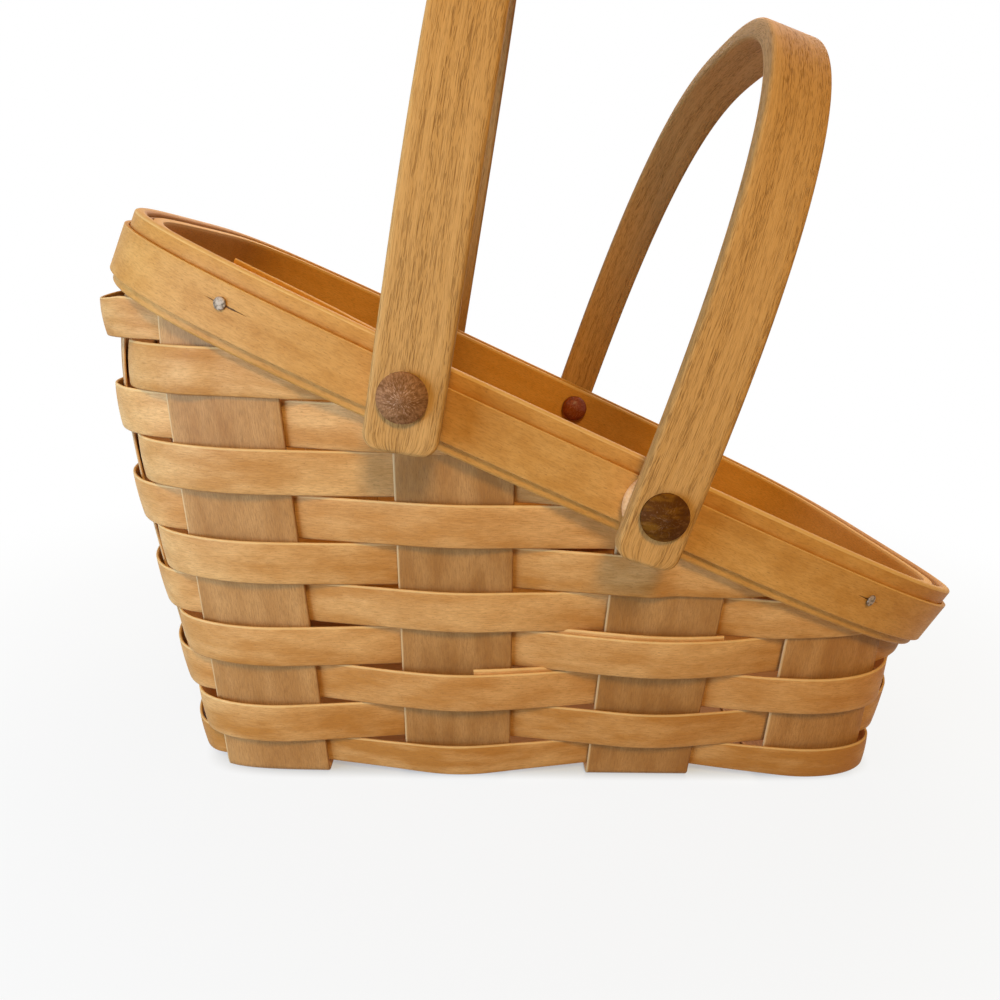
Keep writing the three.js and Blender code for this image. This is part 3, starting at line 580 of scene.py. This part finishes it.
def stake_marks(height):
    """Wall angles of each stake's first edge, middle and last edge, in order round the wall."""
    sides = np.array([-1.0, 0.0, 1.0]) * (stake_width / 2 + splint_clearance)
    cross = np.array([cross_stake_at(order, height) for order in range(cross_count)])
    along = np.array([long_stake_at(order, height) for order in range(long_count)])
    return np.concatenate([
        wall_angle("front", cross[:, None] + sides, height).ravel(),
        wall_angle("low", along[:, None] + sides, height).ravel(),
        wall_angle("back", cross[::-1, None] - sides, height).ravel(),
        wall_angle("tall", along[::-1, None] - sides, height).ravel(),
    ])


def station_angle(marks, station):
    """Wall angle at a station (whole at a stake's middle, a third off at its edges), on a smooth curve
    through the marks."""
    place = 3 * np.asarray(station, float) + 1
    first = np.floor(place).astype(int)
    t = place - first
    before, here, after, beyond = [
        marks[(first + k) % len(marks)] + (first + k) // len(marks) * 2 * np.pi for k in (-1, 0, 1, 2)
    ]
    square = 2 * before - 5 * here + 4 * after - beyond
    cube = 3 * here - before - 3 * after + beyond
    return here + ((after - before) * t + square * t**2 + cube * t**3) / 2


def cut_height(angle):
    """Height at which the rim cuts a row: just behind the lower edge of the band."""
    return rim_point(angle, 0.0, -outer_band_width / 2)[..., 2] + weave_tuck * square_to_rim[2]


def weaver_ends(row, marks, bottom):
    """First and last station of a row: a lap for a whole ring, or the two places where the rim cuts it."""
    if row in laps:
        lap, first, last = laps[row]
        return lap + first, lap + stations + last
    low, high = tall_middle, tall_middle + stations / 2
    for _ in range(40):
        middle = (low + high) / 2
        room = cut_height(station_angle(marks, middle)) - bottom - least_width
        low, high = (middle, high) if room > 0 else (low, middle)
    return 2 * tall_middle - low, low


def lap_layers(row, station):
    """How far the strip is pressed in or out by its own other end, and how far its under layer peeks out.
    The two ends lie on each other over one stake. In the turned row the first end is on the outside."""
    if row not in laps:
        return np.zeros((2, len(station)))
    lap = laps[row][0]
    away = lap + stations - station if row == turned_lap_row else station - lap
    step = weaver_thickness + splint_clearance
    upper = step * (1 - climb(np.abs(away - stations), 1 / 3, 2 / 3))
    lower = np.where(away < 1, -climb(np.abs(away), 1 / 3, 2 / 3), climb(away, 1, 4 / 3) - 1) * step
    peek = lap_peek * (1 - climb(away, 0.4, 0.75))
    return np.where(away > stations - 1, upper, lower), peek


def weaver(row):
    """The strip's middle is the wall, moved out by a cosine of the station, one stake to half a wave, with
    more slack in the lower rows. The first row is cut narrower, and the last has come loose from the rim
    at the front of the tall end."""
    bottom = first_lift + (row - 1) * (weaver_width + row_gap)
    marks = stake_marks(bottom + weaver_width / 2)
    start, end = weaver_ends(row, marks, bottom)
    station = np.linspace(start, end, int((end - start) * 30))
    angle = station_angle(marks, station)
    phase = np.cos(np.pi * (station + row))
    sway = sway_height * np.sin(1.9 * station + 2.3 * row)
    shift, peek = lap_layers(row, station)
    loose = np.maximum(0, 1 - ((station - loose_station) / loose_reach) ** 2) ** 2 * (row == loose_row)
    upper = np.minimum(bottom + weaver_width + sway + peek, cut_height(angle)) - loose_sag * loose
    lower = np.full(len(station), bottom) + sway
    if row == 1:
        lower = bottom + narrow_cut + narrow_wave * (1 - phase)
    foot = rim_point(angle, 0.0, -outer_band_width / 2)[..., 2]
    pressed = climb(upper, foot - press_reach, foot)
    free = (wave_height + weave_slack - slack_lost_per_row * row) * phase
    offset = free + (np.clip(free, -hug, hug) - free) * pressed + shift
    share = weaver_place / weaver_width + 0.5
    height = lower[:, None] + (upper - lower)[:, None] * share
    normal = wall_normal(angle[:, None], height)
    normal[..., 2] = 0
    normal = unit(normal)
    crown = crown_height * (1 - (2 * share - 1) ** 2) - crown_sink
    stand_off = loose[:, None] * (loose_gap + loose_lean * share)
    offset = offset[:, None] + crown + stand_off
    return wall_point(angle[:, None], height) + normal * offset[..., None], normal


weaver_place, weaver_half = splint_section(weaver_width, weaver_thickness, 9)
# The last tone is the pale top edge's colour: partly paler cut wood, partly a painted highlight. The lower
# edge gets a painted shadow.
weaver_tones = (paint(232, 172, 104), paint(184, 116, 48), paint(150, 92, 40), paint(240, 192, 122))
weaver_wood = splint_finish("weaver_splint", weaver_width / 2, *weaver_tones, fibre_share=0.38)
# The first row's darker shade is in part a painted shade for the dimmer light near the table.
weaver_cuts_and_shade = [(0.34, 0.0, 0.17), (0.26, 0.06, 0.23), (0.16, 0.16, 0.31), (0.16, 0.1, 0.37)]
weaver_cuts_and_shade += [(0.1, 0.1, 0.43), (0.16, 0.05, 0.47), (0.12, 0.16, 0.59), (0.06, 0.04, 0.61)]
weaver_cuts_and_shade += [(0.02, 0.1, 0.73), (0.2, 0.0, 0.79), (0.3, 0.05, 0.97)]
for row, cut in enumerate(weaver_cuts_and_shade, start=1):
    name = f"weaver_row_{row:02d}"
    strip = add_splint(f"{name}_wood", *weaver(row), weaver_place, weaver_half)
    finish_piece(strip, weaver_wood, cut, "basket", name)

# Rim: three bent bands. A wide outer one and one inside clamp the wall between them,
# and a narrower trim strip is tacked over the outer one. Their top edges are rounded by sanding.
outer_inside, outer_outside, outer_overhang = 1.75, 4.15, 0.7
trim_inside, trim_outside, trim_width, trim_drop = 4.3, 5.6, 13.1, 1.3
inner_outside, inner_inside, inner_width = -1.75, -3.55, 18.4
band_lean = 0.85


def round_rectangle(half_width, half_height, radius, width_steps, height_steps):
    """Loop of points round a rectangle with round corners, with more points on its sides."""
    turn = np.linspace(0, np.pi / 2, 6)
    signs = np.array([(1, 1), (-1, 1), (-1, -1), (1, -1)])
    centres = signs * np.array([half_width - radius, half_height - radius])
    loop = []
    for quarter, centre in enumerate(centres):
        arc = turn + quarter * np.pi / 2
        spokes = radius * np.stack([np.cos(arc), np.sin(arc)], axis=-1)
        steps = width_steps if quarter % 2 == 0 else height_steps
        share = np.linspace(0, 1, steps + 2)[1:-1, None]
        far = centres[(quarter + 1) % 4]
        loop += [centre + spokes, centre + spokes[-1] + (far - centre) * share]
    return np.concatenate(loop)


def even_rim_angles(steps):
    """Angles at even distances round the rim, from the middle of the low end."""
    fine = np.linspace(0, 2 * np.pi, 6001)
    length = run_length(rim_point(fine, 0.0, 0.0))
    return np.interp(np.linspace(0, length[-1], steps, endpoint=False), length, fine)


def rim_angle_at(run):
    """Rim angle on the front at a distance down the slope from the rim's middle."""
    share = np.abs(run / rim_half_length) ** rim_squareness
    return np.arctan2(-rim_half_width * (1 - share) ** (1 / rim_squareness), run)


def add_hoop(name, profile):
    """A closed band: a profile of places out from the wall and up the band, carried round the rim."""
    angle = even_rim_angles(420)
    rings = rim_point(angle[:, None], profile[:, 0], profile[:, 1])
    path = np.concatenate([rings[:, 0], rings[:1, 0]])
    along = run_length(path)
    across = run_length(np.concatenate([profile, profile[:1]]))
    return add_tube(name, rings, grain_grid(along, across), closed=True)


def band_profile(inside, outside, width, radius, drop=0.0):
    """Section of a band, in places out from the wall and up from the rim's middle line."""
    loop = round_rectangle((outside - inside) / 2, width / 2, radius, 1, 8)
    return loop + np.array([(inside + outside) / 2, -drop])


def band_finish(name, pale, deep, streak, top_edge, splits=()):
    """Bent maple: slow soft figure, a fine mottle of short fibres, small flecks, and a painted highlight on
    the top edge, which is as wide as top_edge: the edge is made paler where it catches the light. A split
    is a dark crack along the grain, widest at a place down the slope of the rim and closing over its reach."""
    finish = Nodes(bpy.data.materials.new(name))
    along, across, shade, warmth, seed = grain_places(finish)
    figure = streaks(finish, along, across, seed, 60.0, 8.0, 3.0).rise(0.3, 0.7)
    ripple = streaks(finish, along, across, seed + 0.21, 7.0, 4.0, 2.0).rise(0.3, 0.7)
    fibres = streaks(finish, along, across, seed + 0.47, 2.0, 0.42, 4.0, 0.7)
    flecks = streaks(finish, along, across, seed + 0.63, 1.2, 0.34, 1.0).rise(0.62, 0.76)
    tone = figure * 0.4 + ripple * 0.35 + shade
    colour = finish.mix(tone.most(0.0).least(1.0), pale, deep)
    colour = finish.mix(warmth, colour, paint(226, 144, 34))
    colour = finish.mix(fibres.rise(0.38, 0.72) * 0.36, colour, streak)
    colour = finish.mix(flecks * 0.34, colour, paint(112, 66, 28))
    # Painted highlight: the rounded top edge is made paler, as if lit from above.
    painted_top_highlight = across.rise(0.0, 0.2) * (1 - across.rise(top_edge - 0.3, top_edge))
    colour = finish.mix(painted_top_highlight * 0.5, colour, paint(238, 186, 114))
    height = fibres * 0.6 - flecks * 0.5
    place = finish.node("ShaderNodeTexCoord", output="Object")
    from_middle = finish.node(
        "ShaderNodeVectorMath", {"operation": "SUBTRACT"}, {0: place, 1: (rim_centre / 1000).tolist()}
    )
    dot = {"operation": "DOT_PRODUCT"}
    run_down, run_up = [
        finish.node("ShaderNodeVectorMath", dot, {0: from_middle, 1: way}, "Value") * 1000
        for way in (down_rim.tolist(), square_to_rim.tolist())
    ]
    split_half = 0.24
    for run, reach in splits:
        part = (run_down - run) / reach
        off_split = (run_up + fibres * 0.5 - 0.25).size()
        crack = (split_half - part * part * split_half - off_split).rise(0.0, 0.1)
        colour = finish.mix(crack * 0.85, colour, paint(58, 28, 8))
        height = height - crack * 3.0
    surface(finish, colour, 0.44 + fibres * 0.18, height, 0.06)
    return finish


tack_runs = {"tall": -0.6964 * rim_half_length, "low": 0.678 * rim_half_length}
band_tones = (paint(212, 150, 78), paint(178, 112, 42), paint(142, 86, 34))
band_wood = band_finish("rim_band", *band_tones, top_edge=3.0)
trim_splits = [(tack_runs["tall"], 6.5), (tack_runs["low"] + 0.5, 4.0)]
trim_wood = band_finish("trim_band", *band_tones, top_edge=1.6, splits=trim_splits)
outer_width = outer_band_width + outer_overhang
outer_profile = band_profile(outer_inside, outer_outside, outer_width, 1.0, outer_overhang / 2)
toward_wall = (outer_outside - outer_profile[:, 0]) / (outer_outside - outer_inside)
outer_profile[:, 0] -= band_lean * toward_wall * climb(outer_profile[:, 1], -5.0, 0.0)
outer_band = add_hoop("outer_band_wood", outer_profile)
finish_piece(outer_band, band_wood, (0.2, 0.1, 0.19), "basket", "outer_band")
trim = add_hoop("trim_strip_wood", band_profile(trim_inside, trim_outside, trim_width, 0.3, trim_drop))
finish_piece(trim, trim_wood, (0.1, 0.05, 0.43), "basket", "trim_strip")

lap_start, lap_length, lap_climb, lap_gap = -100.5, 28.0, 7.0, 0.1
start_thinning, end_thinning = 0.8, 1.2
proud_height, proud_from, proud_to = 1.5, 12.0, 80.0


def inner_band():
    """A strip that starts on the front near the tall end, runs once round and ends under its own start.
    Both ends are shaved thin. The start lies on the end with a step inwards and stands a little proud."""
    start = rim_angle_at(lap_start)
    fine = np.linspace(start, start + 2 * np.pi * 1.08, 6001)
    length = run_length(rim_point(fine, -2.5, 0.0))
    turn = np.interp(start + 2 * np.pi, fine, length)
    along = np.linspace(0, turn + lap_length, 440)
    angle = np.interp(along, length, fine)
    thickness = inner_outside - inner_inside
    under = thickness - end_thinning * np.clip(along / lap_length, 0, 1)
    lifted = (under + lap_gap) * (1 - climb(along, lap_length, lap_length + lap_climb))
    early = 1 - climb(along, 0.0, lap_length + lap_climb)
    late = np.clip((along - turn) / lap_length, 0, 1)
    thick = thickness - start_thinning * early - end_thinning * late
    loop = round_rectangle(0.5, inner_width / 2, 0.4, 1, 8)
    outward = (inner_outside - lifted - thick / 2)[:, None] + thick[:, None] * loop[:, 0]
    top_lean = band_lean * (0.5 + loop[:, 0]) * climb(loop[:, 1], -4.0, 1.0)
    outward = outward + top_lean * (lifted[:, None] < 0.01)
    proud = proud_height * (1 - climb(along, proud_from, proud_to))
    rings = rim_point(angle[:, None], outward, loop[:, 1] + proud[:, None])
    across = run_length(np.concatenate([loop, loop[:1]]) * np.array([thickness, 1.0]))
    return add_tube("inner_band_wood", rings, grain_grid(along, across))


# The inner band is paler and warmer than the outer one, in part a painted warm light for the glow inside
# the basket.
finish_piece(inner_band(), band_wood, (-0.1, 0.5, 0.71), "basket", "inner_band")

# Tacks: four small dull steel nails with flat heads that hold the trim strip.
# Two show on the front, one near each end of the rim. The one at the low end sits crooked.


def add_turned(name, profile, seat, axis, sides=48):
    """A profile of radius and distance out, turned about an axis through a seat. A profile that ends where
    it starts makes a ring, and the ends of any other lie on the axis, with a small last circle that is
    closed. The grain is the place across the turned face."""
    axis = unit(np.asarray(axis, float))
    across = unit(np.cross(axis, [0.0, 0.0, 1.0]))
    upward = np.cross(across, axis)
    turn = np.arange(sides) / sides * 2 * np.pi
    spoke = np.cos(turn)[:, None] * across + np.sin(turn)[:, None] * upward
    radius, out = np.maximum(profile[:, 0], 0.02), profile[:, 1]
    rings = seat + radius[:, None, None] * spoke + out[:, None, None] * axis
    closed_turn = np.concatenate([turn, turn[:1]])
    face = np.stack([np.cos(closed_turn), np.sin(closed_turn)], axis=-1)
    hollow = np.allclose(profile[0], profile[-1])
    return add_tube(name, rings[:-1] if hollow else rings, radius[:, None, None] * face, closed=hollow)


steel = Nodes(bpy.data.materials.new("tack_steel"))
steel_place = steel.node("ShaderNodeTexCoord", output="Object")
wear_sockets = {"Vector": steel_place, "Scale": 1400.0, "Detail": 3.0}
steel_wear = steel.node("ShaderNodeTexNoise", sockets=wear_sockets)
steel_colour = steel.mix(steel_wear.rise(0.4, 0.7), paint(162, 134, 106), paint(92, 72, 52))
surface(steel, steel_colour, 0.55 + steel_wear * 0.25, steel_wear, 0.04, gloss=0.5, metal=1.0)
tack_head, tack_face, tack_shank, tack_depth = 1.65, 1.5, 0.6, 2.0
tack_height, tack_dome, tack_lift, tack_crook = 0.6, 0.06, 0.05, 0.45
face = np.linspace(tack_face, 0.0, 6)
flat = np.stack([face, tack_height + tack_dome * (1 - face / tack_face)], axis=-1)
shank = [[0.0, -tack_depth], [tack_shank, -tack_depth], [tack_shank, 0.0]]
head = [[tack_head - 0.1, 0.0], [tack_head, 0.1], [tack_head, tack_height - 0.12]]
tack_profile = np.concatenate([shank, head, flat])
for side, way in (("front", 1), ("back", -1)):
    for end, run in tack_runs.items():
        angle = way * rim_angle_at(run)
        seat = rim_point(angle, trim_outside + tack_lift, 0.0)
        out = seat - rim_point(angle, outer_inside, 0.0)
        if (end, side) == ("low", "front"):
            out = unit(out) + tack_crook * down_rim
        tack = add_turned(f"tack_{end}_{side}_steel", tack_profile, seat, out, 32)
        finish_piece(tack, steel, (0.0, 0.0, 0.0), "basket", f"tack_{end}_{side}")

# Handles: two steam-bent oak strips with open pores, eased edges and rounded lower ends.
# Each stands on a pair of rivets, and in the photograph both lean towards the low end.
handle_thickness, handle_tail, tail_corner = 5.8, 13.6, 4.2
handle_edge, tail_thinning, arch_squareness = 1.15, 0.28, 2.65
# Of each handle: its lean in degrees, its width, how far its middle lies beyond the rivets, and its cut.
handles = {"tall": (8.4, 18.4, 0.9, (0.12, 0.05, 0.27)), "low": (17.1, 16.6, 0.0, (0.28, 0.12, 0.69))}
handle_inside = 98.0
handle_middle = handle_inside + handle_thickness / 2
handle_rise = 132.0 + handle_thickness / 2
pivots = {
    "tall": rim_centre + down_rim * (-0.33724 * rim_half_length),
    "low": rim_centre + down_rim * (0.17665 * rim_half_length),
}


def handle_path():
    """Middle line of a handle in its own upright frame: front leg, squared arch, back leg, with the way
    out at each point, and how far its sides draw in and its faces thin where the lower ends round off."""
    fine = np.linspace(np.pi, 0, 4001)
    arch = (handle_middle, handle_rise, arch_squareness)
    length = run_length(np.stack(oval_point(fine, *arch), axis=-1))
    angle = np.interp(np.linspace(0, length[-1], 170), length, fine)
    y, z = oval_point(angle, *arch)
    out_y, out_z = oval_normal(y, z, *arch)
    turn = np.linspace(0, np.pi / 2, 12)
    rounded = tail_corner * (1 - np.cos(turn))
    straight = np.linspace(tail_corner, handle_tail, 5)[1:-1]
    drop = np.concatenate([rounded, straight])
    across = np.maximum(tail_corner - drop, 0)
    inset = tail_corner - np.sqrt(tail_corner**2 - across**2)
    leg = np.stack([np.full(len(drop), handle_middle), drop - handle_tail], axis=-1)
    side = np.broadcast_to([1.0, 0.0], leg.shape)
    mirror = np.array([-1.0, 1.0])
    line = np.concatenate([leg * mirror, np.stack([y, z], axis=-1), leg[::-1]])
    out = np.concatenate([side * mirror, np.stack([out_y, out_z], axis=-1), side])
    narrowing = np.concatenate([inset, np.zeros(len(angle)), inset[::-1]])
    ease = 1 - tail_thinning * (1 - climb(drop, -0.4, 0.9))
    thin = np.concatenate([ease, np.ones(len(angle)), ease[::-1]])
    return line, out, narrowing, thin


def add_handle(name, pivot, lean, width, offset):
    """A rounded section carried along the handle's path, then leaned over about the pivot."""
    line, out, narrowing, thin = handle_path()
    loop = round_rectangle(width / 2, handle_thickness / 2, handle_edge, 7, 2)
    x = loop[:, 0] * (1 - narrowing / (width / 2))[:, None] + offset
    depth = loop[:, 1] * thin[:, None]
    y = line[:, :1] + out[:, :1] * depth
    z = line[:, 1:] + out[:, 1:] * depth
    leaned_x = x * np.cos(lean) + z * np.sin(lean)
    leaned_z = z * np.cos(lean) - x * np.sin(lean)
    rings = np.stack([leaned_x, y, leaned_z], axis=-1)
    along = run_length(line)
    across = run_length(np.concatenate([loop, loop[:1]]))
    return add_tube(name, rings + pivot, grain_grid(along, across))


def oak_finish():
    """Oak: slow pale and deep figure, dense fine pores in dashes along the grain, and a worn satin coat."""
    finish = Nodes(bpy.data.materials.new("handle_wood"))
    along, across, shade, warmth, seed = grain_places(finish)
    drift = streaks(finish, along, across, seed + 0.9, 60.0, 24.0, 1.0) * 2.4
    figure = streaks(finish, along, across + drift, seed, 110.0, 2.6, 3.0).rise(0.3, 0.7)
    fibres = streaks(finish, along, across + drift, seed + 0.37, 12.0, 0.22, 3.0, 0.6)
    pores = streaks(finish, along, across + drift, seed + 0.53, 3.0, 0.17, 1.0, 0.5).rise(0.54, 0.66)
    long_pores = streaks(finish, along, across + drift, seed + 0.77, 7.0, 0.22, 1.0, 0.5).rise(0.58, 0.7)
    porous = figure * 0.7 + 0.3
    tone = figure * 0.5 + shade
    colour = finish.mix(tone.most(0.0).least(1.0), paint(210, 152, 86), paint(184, 126, 62))
    colour = finish.mix(warmth, colour, paint(206, 132, 58))
    colour = finish.mix(fibres.rise(0.42, 0.72) * 0.36, colour, paint(154, 100, 46))
    colour = finish.mix(pores * porous * 0.6, colour, paint(118, 72, 30))
    colour = finish.mix(long_pores * porous * 0.6, colour, paint(122, 74, 32))
    height = fibres * 0.3 - pores * porous - long_pores * porous * 0.8
    surface(finish, colour, 0.58 + pores * 0.2 + fibres * 0.08, height, 0.06, gloss=0.08)
    return finish


oak = oak_finish()
for end, (lean, width, offset, cut) in handles.items():
    handle = add_handle(f"{end}_handle_wood", pivots[end], np.radians(lean), width, offset)
    finish_piece(handle, oak, cut, f"{end}_handle", f"{end}_handle")

# Rivets, spacers and caps: a turned walnut rivet goes through each leg of a handle, a pale spacer disc
# holds the leg off the rim, and a dark red domed cap closes the end of the rivet inside the basket.
seat_gap = 0.15
spacer_face = rim_half_width + trim_outside + seat_gap
spacer_flat, spacer_round, spacer_thickness, spacer_hole = 7.2, 1.8, 4.6, 3.2
rivet_base = handle_inside + handle_thickness + seat_gap
rivet_radius, rivet_edge, cone_height, cone_bulge = 6.1, 1.4, 2.75, 0.25
shank_radius, shank_end = 3.0, 3.4
cap_radius, cap_edge, cap_rise = 5.8, 1.83, 3.67


def cap_seat(pivot):
    """Distance from the middle to the inner band, at the farther edge of a cap."""
    run = (np.abs(pivot[0] - rim_centre[0]) + cap_radius) / np.cos(rim_tilt)
    return -rim_point(rim_angle_at(run), inner_inside, 0.0)[1] - seat_gap


def rivet_profile(seat):
    """Shank, then a head with a straight edge and a low cone with a rounded tip."""
    share = np.concatenate([[1.0], np.linspace(0.97, 0.0, 12)])
    rise = rivet_base + rivet_edge + cone_height * (1 - share) ** 0.8
    cone = np.stack([rivet_radius * share, rise], axis=-1)
    cone[1:, 1] += cone_bulge * np.sin(np.pi * share[1:])
    start = seat - shank_end
    shank = [[0.0, start], [shank_radius, start], [shank_radius, rivet_base]]
    under = [[rivet_radius - 0.4, 0.0], [rivet_radius - 0.12, 0.12], [rivet_radius, 0.4]]
    return np.concatenate([shank, np.array(under) + [0.0, rivet_base], cone])


def spacer_profile():
    """A disc with a fully rounded edge."""
    turn = np.linspace(np.pi / 2, -np.pi / 2, 12)
    out = spacer_face + spacer_thickness / 2 * (1 - np.sin(turn))
    edge = np.stack([spacer_flat + spacer_round * np.cos(turn), out], axis=-1)
    near, far = [spacer_hole, spacer_face], [spacer_hole, spacer_face + spacer_thickness]
    return np.concatenate([[near], edge, [far, near]])


def cap_profile(seat):
    """A low straight edge and a dome towards the inside of the basket."""
    turn = np.linspace(np.pi / 2, 0, 14)
    dome = np.stack([cap_radius * np.cos(turn), seat - cap_edge - cap_rise * np.sin(turn)], axis=-1)
    back = [[cap_radius, seat - 0.15], [cap_radius - 0.15, seat], [0.0, seat]]
    return np.concatenate([dome, back])


def turned_finish(name, pale, deep, blotched, roughness, coat):
    """Turned wood seen on its end grain: fine rays from the middle, some of them pale, pores in dots, and
    blotches that turn a warm piece golden."""
    finish = Nodes(bpy.data.materials.new(name))
    x, y, shade, warmth, seed = grain_places(finish)
    radius = (x * x + y * y + 0.01) ** 0.5
    around = {0: x / radius, 1: y / radius, 2: seed * seed_spread + radius * 0.12}
    vector = finish.node("ShaderNodeCombineXYZ", sockets=around)
    rays = finish.node("ShaderNodeTexNoise", sockets={"Vector": vector, "Scale": 11.0, "Detail": 2.0})
    dots = streaks(finish, x, y, seed + 0.4, 0.4, 0.55, 2.0).rise(0.48, 0.7)
    blotch = streaks(finish, x, y, seed + 0.7, 2.6, 1.8, 3.0, 0.6).rise(0.35, 0.65)
    tone = rays.rise(0.38, 0.62) * 0.35 + blotch * 0.3 + shade
    colour = finish.mix(tone.most(0.0).least(1.0), pale, deep)
    flecks = (1 - rays).rise(0.56, 0.66) * (1 - radius.rise(0.5, 6.0)) * (1 - shade)
    colour = finish.mix(flecks.most(0.0) * 0.45, colour, paint(226, 178, 140))
    colour = finish.mix(dots * 0.2, colour, deep)
    golden = streaks(finish, x, y, seed + 0.9, 6.0, 2.2, 3.0, 0.6).rise(0.48, 0.68)
    colour = finish.mix(golden * warmth, colour, blotched)
    surface(finish, colour, roughness + dots * 0.12, rays - dots * 0.6, 0.1, gloss=0.04, coat=coat)
    return finish


rivet_tones = (paint(164, 108, 66), paint(84, 42, 4), paint(142, 86, 18))
spacer_tones = (paint(236, 176, 116), paint(206, 138, 80), paint(226, 160, 90))
cap_tones = (paint(166, 74, 18), paint(108, 40, 4), paint(180, 84, 26))
walnut = turned_finish("rivet_wood", *rivet_tones, roughness=0.5, coat=0.0)
beech = turned_finish("spacer_wood", *spacer_tones, roughness=0.42, coat=0.0)
red_wood = turned_finish("cap_wood", *cap_tones, roughness=0.3, coat=0.3)
# The low handle's rivets are much darker and more golden, in part a painted shade for the dimmer light at
# that end.
rivet_cuts_and_shade = {"tall": (0.04, 0.0), "low": (0.8, 0.45)}
for end, pivot in pivots.items():
    for side, way in (("front", -1.0), ("back", 1.0)):
        seat = cap_seat(pivot)
        seed = {"tall": 0.2, "low": 0.6}[end] + 0.15 * (way > 0)
        turned_pieces = {
            "rivet": (rivet_profile(seat), walnut, rivet_cuts_and_shade[end]),
            "spacer": (spacer_profile(), beech, (0.1, 0.0)),
            "cap": (cap_profile(seat), red_wood, (0.15, 0.0)),
        }
        for kind, (profile, finish, cut) in turned_pieces.items():
            node = f"{end}_{kind}_{side}"
            piece = add_turned(f"{node}_wood", profile, pivot, (0.0, way, 0.0))
            finish_piece(piece, finish, (*cut, seed), "basket", node)
